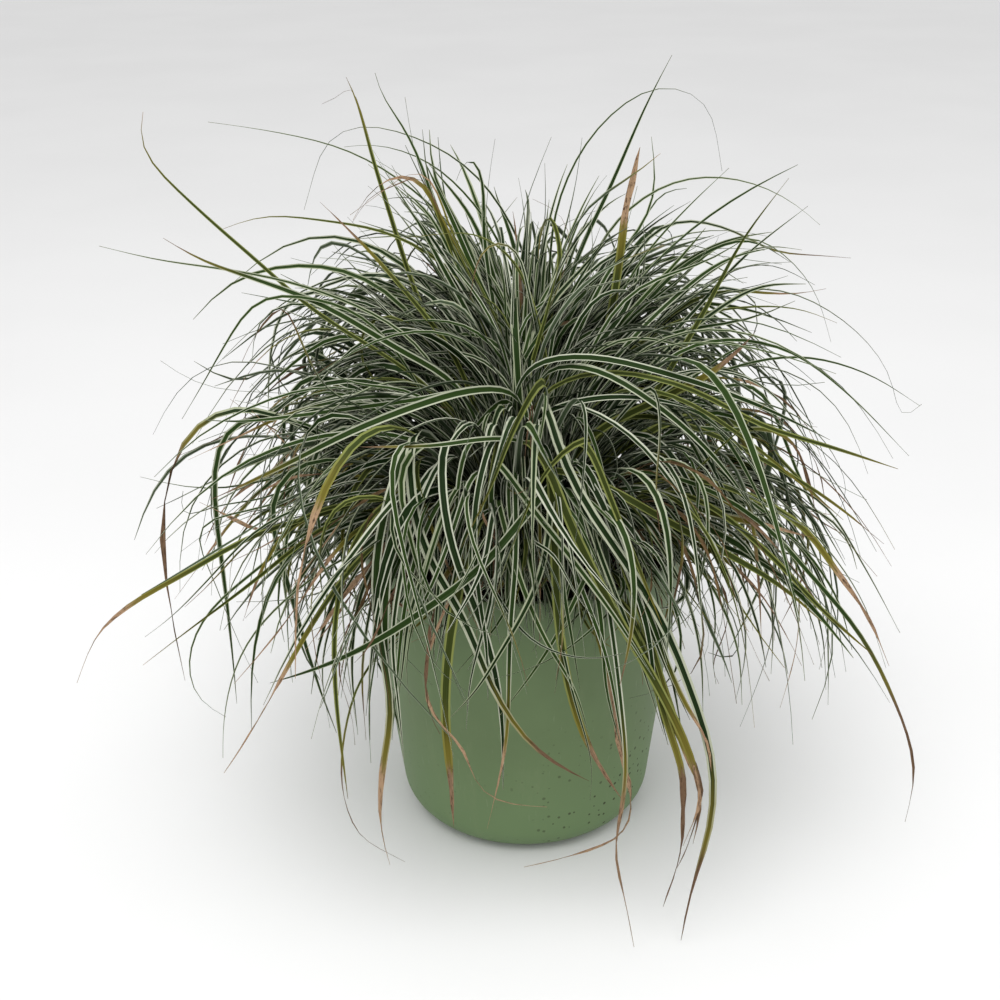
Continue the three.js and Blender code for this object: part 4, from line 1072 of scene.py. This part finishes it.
def clear_of_pot(path, along):
    """Outer points moved straight up or straight out, whichever is nearer, until they clear the rim,
    and up off the ground; then the corners are eased by averaging with their neighbours."""
    moved = path.copy()
    moved[..., 2] = np.maximum(moved[..., 2], FLOOR_CLEARANCE)
    reach = np.hypot(moved[..., 0], moved[..., 1])
    top, edge = POT_HEIGHT + HANG_CLEARANCE, RIM_RADIUS + HANG_CLEARANCE
    free = (along[None] <= HANGS_FROM) | (moved[..., 2] >= top) | (reach >= edge)
    free |= reach < ABOVE_THE_SOIL
    raised = ~free & (top - moved[..., 2] < edge - reach)
    pushed = ~free & ~raised
    moved[..., 2] = np.where(raised, top, moved[..., 2])
    out = np.where(pushed, edge / np.maximum(reach, 1), 1)[..., None]
    moved[..., :2] *= out
    for _ in range(EASINGS):
        moved[:, 1:-1] = (moved[:, :-2] + 2 * moved[:, 1:-1] + moved[:, 2:]) / 4
    return moved


def within(path, low, high):
    """A blade that would leave the box is drawn in evenly towards its root."""
    root = path[:, :1]
    over = np.maximum((path - root) / (high - root), (path - root) / (low - root))
    return root + (path - root) / np.maximum(over.max(axis=(1, 2)), 1)[:, None, None]


def blade_width(along, width, taper):
    """Narrow in the sheath, full at a third of the length, then width (1 - t^taper) to a hair."""
    rise = np.clip(along / SHEATH_SHARE, 0, 1)
    swell = SHEATH_WIDTH + (1 - SHEATH_WIDTH) * rise * rise * (3 - 2 * rise)
    return np.maximum(width[:, None] * swell * (1 - along ** taper[:, None]), HAIR_WIDTH)


def faces_of(path):
    """Unit vectors at each point of a blade: level across it, and square to that on its upper side."""
    ahead = np.gradient(path, axis=1)
    ahead /= np.linalg.norm(ahead, axis=2, keepdims=True)
    level = level_across(path)
    side = level - (level * ahead).sum(2, keepdims=True) * ahead
    side /= np.linalg.norm(side, axis=2, keepdims=True)
    return side, np.cross(ahead, side)


def ribbons(path, along, width, taper, roll, twist, strip):
    """Four-cornered blades carried along their paths: left margin, middle of the channel, right
    margin and keel, turned about the path by roll (ROLL_AT_ROOT + t) + twist t² degrees. The map
    puts each blade on its own strip, across for u and along for v."""
    count, rings = path.shape[:2]
    side, above = faces_of(path)
    angle = np.radians(roll[:, None] * (ROLL_AT_ROOT + along) + twist[:, None] * along ** 2)[..., None]
    dry = np.clip((along - np.interp(strip, *zip(*DRY_FROM))[:, None]) / DRIES_OVER, 0, 1)
    angle += (dry * SHRUNK_TWIST * np.sin(SHRUNK_WAVES * along + strip[:, None]))[..., None]
    shrunk = SHRUNK_BY + SHRUNK_BY * np.sin(SHRUNK_BEAT * SHRUNK_WAVES * along + strip[:, None])
    wide = (blade_width(along[None], width, taper) * (1 - dry * shrunk))[..., None]
    side, above = side * np.cos(angle) + above * np.sin(angle), above * np.cos(angle) - side * np.sin(angle)
    rise = above * wide * CHANNEL
    thick = above * (BLADE_THICKNESS * np.clip(wide / THICK_FROM, THINNEST, 1))
    left, right = path + side * wide / 2 + rise, path - side * wide / 2 + rise
    corners = np.stack([left, path, right, path - thick], 2)
    at = np.arange(count * rings * 4).reshape(count, rings, 4)
    after = np.roll(at, -1, axis=2)
    walls = np.stack([at[:, :-1], after[:, :-1], after[:, 1:], at[:, 1:]], -1).reshape(count, -1, 4)
    caps = np.stack([at[:, 0, ::-1], at[:, -1]], 1)
    faces = np.concatenate([walls, caps], 1)
    edge = np.arange(4) / 4
    u = np.broadcast_to(edge, (rings - 1, 4))
    low, high = along[:-1, None] + 0 * u, along[1:, None] + 0 * u
    wall_map = np.stack([
        np.stack([u, low], -1), np.stack([u + 0.25, low], -1),
        np.stack([u + 0.25, high], -1), np.stack([u, high], -1),
    ], 2).reshape(-1, 4, 2)
    cap_map = np.stack([np.stack([edge[::-1], 0 * edge], -1), np.stack([edge, 0 * edge + 1], -1)])
    one = np.concatenate([wall_map, cap_map])
    every = np.broadcast_to(one, (count, *one.shape)).copy()
    every[..., 0] = (strip[:, None, None] + STRIP_GUTTER + (1 - 2 * STRIP_GUTTER) * every[..., 0]) / STRIPS
    every[..., 1] = STRIP_END + (1 - 2 * STRIP_END) * every[..., 1]
    return corners.reshape(-1, 3), faces.reshape(-1, 4), every.reshape(-1, 2)


def joined(parts):
    """Several sets of points, faces and map points as one."""
    shifts = np.cumsum([0] + [len(part[0]) for part in parts[:-1]])
    points = np.concatenate([part[0] for part in parts])
    faces = np.concatenate([part[1] + shift for part, shift in zip(parts, shifts)])
    return points, faces, np.concatenate([part[2] for part in parts])


along_fine, along_main, along_lead = (
    np.linspace(0, 1, rings) for rings in (FINE_RINGS, FRAME_RINGS, LEAD_RINGS)
)
# Blades keep to the box of the solids, with a little to spare, and above the floor.
box_low, box_high = np.array(packed_low) / MM, np.array(packed_high) / MM
spare = BOX_SHARE * (box_high - box_low) + BOX_SPARE
keep_low, keep_high = box_low - spare, box_high + spare
keep_low[2] = BOX_FLOOR


def aged(draws, share_old):
    """Strips of the leaf chart for blades of which a share is old: olive or dry-tipped, few dead."""
    count = len(share_old)
    old = draws.uniform(0, 1, count) < share_old
    age = draws.uniform(0, 1, count) ** OLDER_OFTENER
    old_strip = OLIVE + ((WHOLLY_DEAD - OLIVE) * age).astype(int)
    return np.where(old, old_strip, draws.integers(0, OLIVE, count))


def bundled(draws, bundles, count, low, high, stray):
    """A draw for each bundle, spread evenly between two limits, and for its blades the same draw give
    or take a little."""
    even = (draws.permutation(bundles) + draws.uniform(0, 1, bundles)) / bundles
    return np.repeat(low + (high - low) * even, count) + draws.normal(0, stray, bundles * count)


def dome_height(reach):
    """Height of the stools' common dome over a distance from the axis."""
    return SOIL_TOP + DOME_HEIGHT * np.sqrt(1 - np.minimum(reach / DOME_RADIUS, DOME_EDGE) ** 2)


def filling_blades(tuft, draws):
    """Blades between those of the frame and near their rule, in bundles: the blades of a bundle rise
    side by side, lean the same way and part towards their tips."""
    bundles, each, along = tuft["bundles"], tuft["each"], along_fine
    count = bundles * each
    share = np.clip(bundled(draws, bundles, each, *tuft["shares"], BUNDLE_STRAY), 0, 1)
    fan = bundled(draws, bundles, each, *tuft["fans"], FAN_STRAY)
    looser = {**tuft, "lifts": tuft["rises"], "droops": tuft["bends"]}
    root, arch, tip, _, roll = ruled_blades(looser, share, fan, draws.uniform(0, 1, (count, 7)))
    stray = bundled(draws, bundles, each, *tuft["stray"], BUNDLE_STRAY)
    size = (between(tuft["sizes"], share) * stray)[:, None]
    lean = bundled(draws, bundles, each, -tuft["lean"], tuft["lean"], BUNDLE_STRAY)[:, None]
    aside = np.cross(UP, (arch - root) / np.hypot(*(arch - root)[:, :2].T)[:, None]) * lean
    aside *= np.linalg.norm(arch - root, axis=1, keepdims=True)
    reached = bundled(draws, bundles, each, *tuft["outer"], BUNDLE_STRAY)[:, None]
    outer = (tip - arch + (1 - SWAY_AT_ARCH) * aside) * size * reached
    arch = root + (arch - root + SWAY_AT_ARCH * aside) * size
    tip = arch + outer
    root[:, :2] += draws.normal(0, ROOT_STRAY, (count, 2))
    reach = np.hypot(root[:, 0], root[:, 1])
    root[:, :2] *= np.minimum(ROOTED_WITHIN / reach, 1)[:, None]
    root[:, 2] = dome_height(np.minimum(reach, ROOTED_WITHIN)) - LOWEST_ROOT
    path = curled(arcs(root, arch, tip, along), along,
                  bundled(draws, bundles, each, *tuft["curls"], CURL_STRAY),
                  draws.uniform(0, tuft["wave"], count), draws.uniform(*FILLING_WAVES, count),
                  draws.uniform(0, WAVE_STARTS, count),
                  bundled(draws, bundles, each, -PLANE, PLANE, PLANE_STRAY))
    path = within(clear_of_pot(path, along), FILLED * keep_low, FILLED * keep_high)
    width = between(tuft["widths"], draws.uniform(0, 1, count))
    return ribbons(path, along, width, draws.uniform(*tuft["tapers"], count), FILLING_ROLL * roll,
                   draws.normal(0, FILLING_TWIST, count),
                   aged(draws, tuft["old"] + OLD_WHEN_LOW * share ** 2))


def leading_blades(tuft):
    """The blades that stand out, each turned to show a good part of its upper side."""
    draws = np.random.default_rng(tuft["seed"])
    path, width, taper, strip = outstanding_blades(tuft["heading"], along_lead)
    path = within(clear_of_pot(path, along_lead), keep_low, keep_high)
    halfway = len(along_lead) // 2
    side, above = (vectors[:, halfway] for vectors in faces_of(path))
    glance = eye - path[:, halfway]
    turn = -np.degrees(np.arctan2((side * glance).sum(1), (above * glance).sum(1)))
    roll = SHOWN * turn + draws.normal(0, LEAD_ROLL, len(path))
    twist = draws.normal(0, LEAD_TWIST, len(path))
    return ribbons(path, along_lead, width, taper, roll, twist, strip)


def frame_blades(tuft, draws):
    """The blades of the tuft's own node, slimmer and curled, the steepest ones shortened most."""
    count = tuft["blades"]
    share = (np.arange(count) + 0.5) / count
    fan = (np.arange(count) * GOLDEN_SHARE) % 1
    root, arch, tip, width, roll = ruled_blades(tuft, share, fan, ruled_draws(tuft["seed"], count, 7))
    size = between(tuft["kept"], np.clip(share / STEEP_SHARE, 0, 1))[:, None]
    arch, tip = root + (arch - root) * size, root + (tip - root) * size
    path = curled(arcs(root, arch, tip, along_main), along_main, draws.uniform(*FRAME_CURLS, count),
                  draws.uniform(0, FRAME_WAVE, count), draws.uniform(*FRAME_WAVES, count),
                  draws.uniform(0, WAVE_STARTS, count), draws.uniform(-FRAME_PLANE, FRAME_PLANE, count))
    path = within(clear_of_pot(path, along_main), keep_low, keep_high)
    return ribbons(path, along_main, FRAME_SLIMMER * width, draws.uniform(*FRAME_TAPERS, count), roll,
                   draws.uniform(-FRAME_TWIST, FRAME_TWIST, count),
                   aged(draws, FRAME_OLD[0] + FRAME_OLD[1] * share))


def tuft_blades(tuft):
    """All blades of one tuft: those that stand out, the blades of the frame, the filling between
    them, blades that hang, and hair-thin curled wisps."""
    draws = np.random.default_rng(tuft["scatter"])
    hanging = {**tuft, **HANGING, "bundles": tuft["hanging"]}
    parts = [leading_blades(tuft), frame_blades(tuft, draws)]
    parts += [filling_blades(kind, draws) for kind in ({**tuft, **FILLING}, hanging, {**tuft, **THIN})]
    return joined(parts)


def blade_finish():
    """Sedge leaf: a green middle stripe and cream margins over fine ribs, paler below, dark olive towards
    the root for the sheath's colour and painted shade in the crown, turning yellow and then dry brown
    from the tip down on older strips."""
    material, flow = finish_called("sedge_leaf", Specular_IOR_Level=0.07)
    chart = flow.node("ShaderNodeUVMap", {"uv_map": "OFBake"}, {})
    strips = chart.part(0) * STRIPS
    strip = strips.math("FLOOR", strips)
    round_share = (strips - strip - STRIP_GUTTER) / (1 - 2 * STRIP_GUTTER)
    below = round_share.math("GREATER_THAN", round_share, 0.5)
    across = abs(flow.math("FRACT", round_share * 2) * 2 - 1)
    along = chart.part(1)
    # Four draws for each strip, from white noise of its number plus a shift.
    stripe_draw, green_draw, cream_draw, dry_draw = (
        flow.node("ShaderNodeTexWhiteNoise", {"noise_dimensions": "1D"}, {"W": strip + shift})
        for shift in (0, 7.31, 14.62, 29.24)
    )
    streak = flow.vector(strips * 9, along * 14, strip).noise(1.0, 3.0, 0.6)
    line = flow.vector(strips * 34, along * 2.5, strip).noise(1.0, 1.0)
    half = stripe_draw.smooth(0, 1, 0.50, 0.74)
    margin = (across + (streak - 0.5) * 0.10).smooth(half - 0.06, half + 0.06)
    old = strip.math("GREATER_THAN", strip, OLIVE - 0.5)
    tipped = strip.math("GREATER_THAN", strip, TIPPED - 0.5)
    olive = old * (1 - tipped * strip.math("MODULO", strip, 2.0))
    green_top = green_draw.smooth(0.2, 0.9).blend(colour(19, 37, 10), colour(38, 58, 18))
    green_top = olive.blend(green_top, colour(50, 58, 18))
    green = below.blend(green_top, colour(64, 77, 55))
    cream_top = cream_draw.smooth(0.1, 0.9).blend(colour(188, 191, 172), colour(156, 162, 134))
    cream_top = olive.blend(cream_top, colour(122, 128, 70))
    cream = below.blend(cream_top, colour(150, 155, 138))
    living = margin.blend(green, cream)
    lined = (line.smooth(0.52, 0.66) * 0.3).blend(living, colour(70, 88, 54))
    # Towards the root each blade darkens to dark olive: partly the sheath's own colour, partly painted
    # shade deep in the crown.
    sheath = along.smooth(0.22, 0.0) * 0.7
    rooted_with_painted_shade = sheath.blend(lined, colour(64, 68, 38))
    stops = [(of / STRIPS, (begins,) * 3) for of, begins in DRY_FROM]
    dry_from = flow.node("ShaderNodeValToRGB", {"stops": stops}, {0: strip / STRIPS}).part(0)
    start = dry_from + (streak - 0.5) * 0.12
    yellow = along.smooth(start - 0.16, start)
    yellowed = (yellow * old * 0.7).blend(rooted_with_painted_shade, colour(118, 106, 40))
    blotches = flow.vector(strips * 6, along * 46, strip).noise(1.0, 3.0, 0.7)
    pale = (line * 0.6 + streak * 0.5 + (dry_draw - 0.5) * 0.7).smooth(0.25, 0.85)
    tan = pale.blend(colour(104, 82, 63), colour(164, 136, 108))
    dry_tone = blotches.smooth(0.52, 0.32).blend(tan, colour(70, 52, 39))
    dry = along.smooth(start - 0.015, start + 0.03)
    tone = dry.blend(yellowed, dry_tone)
    ribs = flow.math("SINE", round_share * 2 * math.pi * 14)
    relief = ribs * 0.5 + streak * 0.8
    rough = below.smooth(0, 1, 0.50, 0.65) + dry * 0.3 + streak * 0.1
    flow.feed(Base_Color=tone, Roughness=rough, Normal=flow.bump(relief, 0.35, 0.00012))
    return material


def sheath_finish():
    """Old leaf sheaths at the foot of the tufts: dark brown fibre in upright streaks."""
    material, flow = finish_called("sheath", Specular_IOR_Level=0.25)
    fibre = flow.place().stretched(1, 1, 0.15).noise(900.0, 4.0, 0.6)
    tone = fibre.smooth(0.3, 0.75).blend(colour(40, 30, 20), colour(112, 92, 62))
    rough = fibre.smooth(0, 1, 0.75, 0.95)
    flow.feed(Base_Color=tone, Roughness=rough, Normal=flow.bump(fibre, 0.7, 0.0006))
    return material


# The stools together: a low dome, its radius rippled by the old sheaths.
dome = [(DOME_RADIUS * math.cos(a), SOIL_TOP + DOME_HEIGHT * math.sin(a))
        for a in np.linspace(0, math.pi / 2, DOME_STEPS)[:-1]]
dome_foot = SOIL_TOP - DOME_SINK
crown_outline = [(0, dome_foot), (DOME_FOOT, dome_foot), *dome, (0, SOIL_TOP + DOME_HEIGHT)]
crown_points, crown_quads, crown_ends = turned(crown_outline, DOME_TURNS)
crown_turn = np.arctan2(crown_points[:, 1], crown_points[:, 0])
fine = DOME_RIPPLE * np.cos(DOME_WAVES[0] * crown_turn + WAVE_SLANT * crown_points[:, 2])
coarse = DOME_RIPPLE * np.cos(DOME_WAVES[1] * crown_turn)
crown_points[:, :2] *= (1 + fine + coarse)[:, None]
crown_mesh = surface_mesh("crown", crown_points, crown_quads, crown_ends)
crown = piece("crown", crown_mesh, sheath_finish())


def blade_piece(name, points, faces, chart, material):
    """Blades as one piece that carries its leaf chart, with crisp margins and keels."""
    mesh = surface_mesh(name, points, faces)
    mesh.uv_layers.new(name="OFBake").uv.foreach_set("vector", chart.astype(np.float32).ravel())
    mesh.set_sharp_from_angle(angle=LEAF_SHARP)
    return piece(name, mesh, material)


leaf = blade_finish()
for tuft in TUFTS:
    blades = blade_piece("blades_" + tuft["name"], *tuft_blades(tuft), leaf)
    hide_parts("tuft_" + tuft["name"])

# ---- Dry leaves --------------------------------------------------------------------------------
# Dead outer leaves, brown from root to tip, kinked and shrunken. Each small bunch hangs out of the
# pot between two tufts, its leaves all rising from one point.

DRY_BUNCHES = [
    ("front_right", -54, 71, (190, 250)),
    ("right", 18, 73, (120, 190)),
    ("back", 90, 79, (120, 190)),
    ("left", 162, 83, (120, 190)),
    ("front_left", 234, 89, (150, 210)),
]
DRY_LEAVES = 3
DRY_WIDTHS = (2.4, 3.4)
DRY_LIFTS = (28, 62)
DRY_DROOPS = (70, 110)
DRY_EXTRA = 5
EXTRA_SIZES = (0.6, 1)
EXTRA_WIDTHS = (0.3, 0.9)
EXTRA_STRAY = 7
DRY_CURL = 0.9
DRY_WAVE = (0.1, 0.5)
DRY_WAVES = (1, 3)
DRY_PLANE = 1.5
DRY_TAPER = 3.0
DRY_ROLL = 50
DRY_TWIST = 160
STALK_CIRCLE = 47
STALK_RISE = 9
DRY_SINK = 3


def dry_blades(heading, seed, lengths):
    """The three leaves of the frame, and thinner ones about them with a kink in each."""
    chance = np.random.default_rng(seed)
    extra = chance.uniform(0, 1, (DRY_EXTRA, 3))
    rows = np.concatenate([ruled_draws(seed, DRY_LEAVES, 3), extra])
    count = len(rows)
    whole = np.ones(DRY_LEAVES)
    half = between(lengths, rows[:, 0]) / 2 * np.r_[whole, chance.uniform(*EXTRA_SIZES, DRY_EXTRA)]
    even = np.arange(DRY_LEAVES) / DRY_LEAVES
    lift = between(DRY_LIFTS, np.r_[even, chance.uniform(0, 1, DRY_EXTRA)])
    fall = lift - between(DRY_DROOPS, rows[:, 1])
    facing = np.radians(heading + np.r_[np.zeros(DRY_LEAVES), chance.normal(0, EXTRA_STRAY, DRY_EXTRA)])
    stalk = outwards(np.full(count, math.radians(heading))) * STALK_CIRCLE
    root = stalk + UP * (SOIL_TOP + STALK_RISE - DRY_SINK)
    arch = root + chord(facing, np.radians(lift), half)
    tip = arch + chord(facing, np.radians(fall), half)
    path = curled(arcs(root, arch, tip, along_main), along_main, chance.normal(0, DRY_CURL, count),
                  chance.uniform(*DRY_WAVE, count), chance.uniform(*DRY_WAVES, count),
                  chance.uniform(0, WAVE_STARTS, count), chance.uniform(-DRY_PLANE, DRY_PLANE, count))
    path = within(clear_of_pot(path, along_main), keep_low, keep_high)
    width = between(DRY_WIDTHS, rows[:, 2]) * np.r_[whole, chance.uniform(*EXTRA_WIDTHS, DRY_EXTRA)]
    return ribbons(path, along_main, width, np.full(count, DRY_TAPER),
                   chance.normal(0, DRY_ROLL, count), chance.normal(0, DRY_TWIST, count),
                   chance.integers(WHOLLY_DEAD, STRIPS, count))


def dry_finish():
    """Dead leaf: tan to dark brown in long streaks and blotches, dull."""
    material, flow = finish_called("dry_leaf", Specular_IOR_Level=0.25)
    chart = flow.node("ShaderNodeUVMap", {"uv_map": "OFBake"}, {})
    strips = chart.part(0) * STRIPS
    along = chart.part(1)
    fibres = flow.vector(strips * 22, along * 5, 3.0).noise(1.0, 4.0, 0.65)
    blotches = flow.vector(strips * 5, along * 40, 1.0).noise(1.0, 3.0, 0.7)
    streak = fibres * 0.6 + blotches * 0.4
    tone = flow.node("ShaderNodeValToRGB", {"stops": [
        (0.3, colour(40, 30, 20)[:3]), (0.46, colour(78, 60, 38)[:3]),
        (0.56, colour(112, 90, 58)[:3]), (0.75, colour(150, 128, 92)[:3]),
    ]}, {0: streak})
    rough = streak.smooth(0, 1, 0.7, 0.95)
    flow.feed(Base_Color=tone, Roughness=rough, Normal=flow.bump(streak, 0.5, 0.0003))
    return material


dry_look = dry_finish()
for name, heading, seed, lengths in DRY_BUNCHES:
    bunch = blade_piece("dry_" + name, *dry_blades(heading, seed, lengths), dry_look)
    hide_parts("dry_leaves_" + name)

# ---- Studio ------------------------------------------------------------------------------------
# A wide pale floor under an even white sky, and one large soft light above.

FLOOR_REACH = 9000
SKY_STRENGTH = 0.84
LAMP_WIDTH = 1.6
LAMP_WATTS = 25
LAMP_PLACE = (-0.1, -0.7, 1.9)
LAMP_AIMS_AT = (0, 0, 0.2)

floor_corners = FLOOR_REACH * np.array([(-1, -1, 0), (1, -1, 0), (1, 1, 0), (-1, 1, 0)])
floor_mesh = surface_mesh("floor", floor_corners, np.array([[0, 1, 2, 3]]))
floor_look, floor_flow = finish_called("studio_floor", Specular_IOR_Level=0.1, Roughness=0.9)
floor_share = floor_flow.place().noise(3.0, 2.0).smooth(0.3, 0.7)
floor_flow.feed(Base_Color=floor_share.blend((0.80, 0.80, 0.80, 1), (0.82, 0.82, 0.82, 1)))
piece("floor", floor_mesh, floor_look, None)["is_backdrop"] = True

sky = bpy.data.worlds.new("sky")
sky.use_nodes = True
sky_light = sky.node_tree.nodes["Background"].inputs
sky_light["Color"].default_value = (1, 1, 1, 1)
sky_light["Strength"].default_value = SKY_STRENGTH
bpy.context.scene.world = sky

lamp_data = bpy.data.lights.new("overhead", "AREA")
lamp_data.shape = "DISK"
lamp_data.size = LAMP_WIDTH
lamp_data.energy = LAMP_WATTS
lamp = placed("overhead", lamp_data)
lamp.location = LAMP_PLACE
lamp.rotation_euler = (Vector(LAMP_AIMS_AT) - lamp.location).to_track_quat("-Z", "Y").to_euler()

bpy.context.scene.view_settings.view_transform = "Standard"
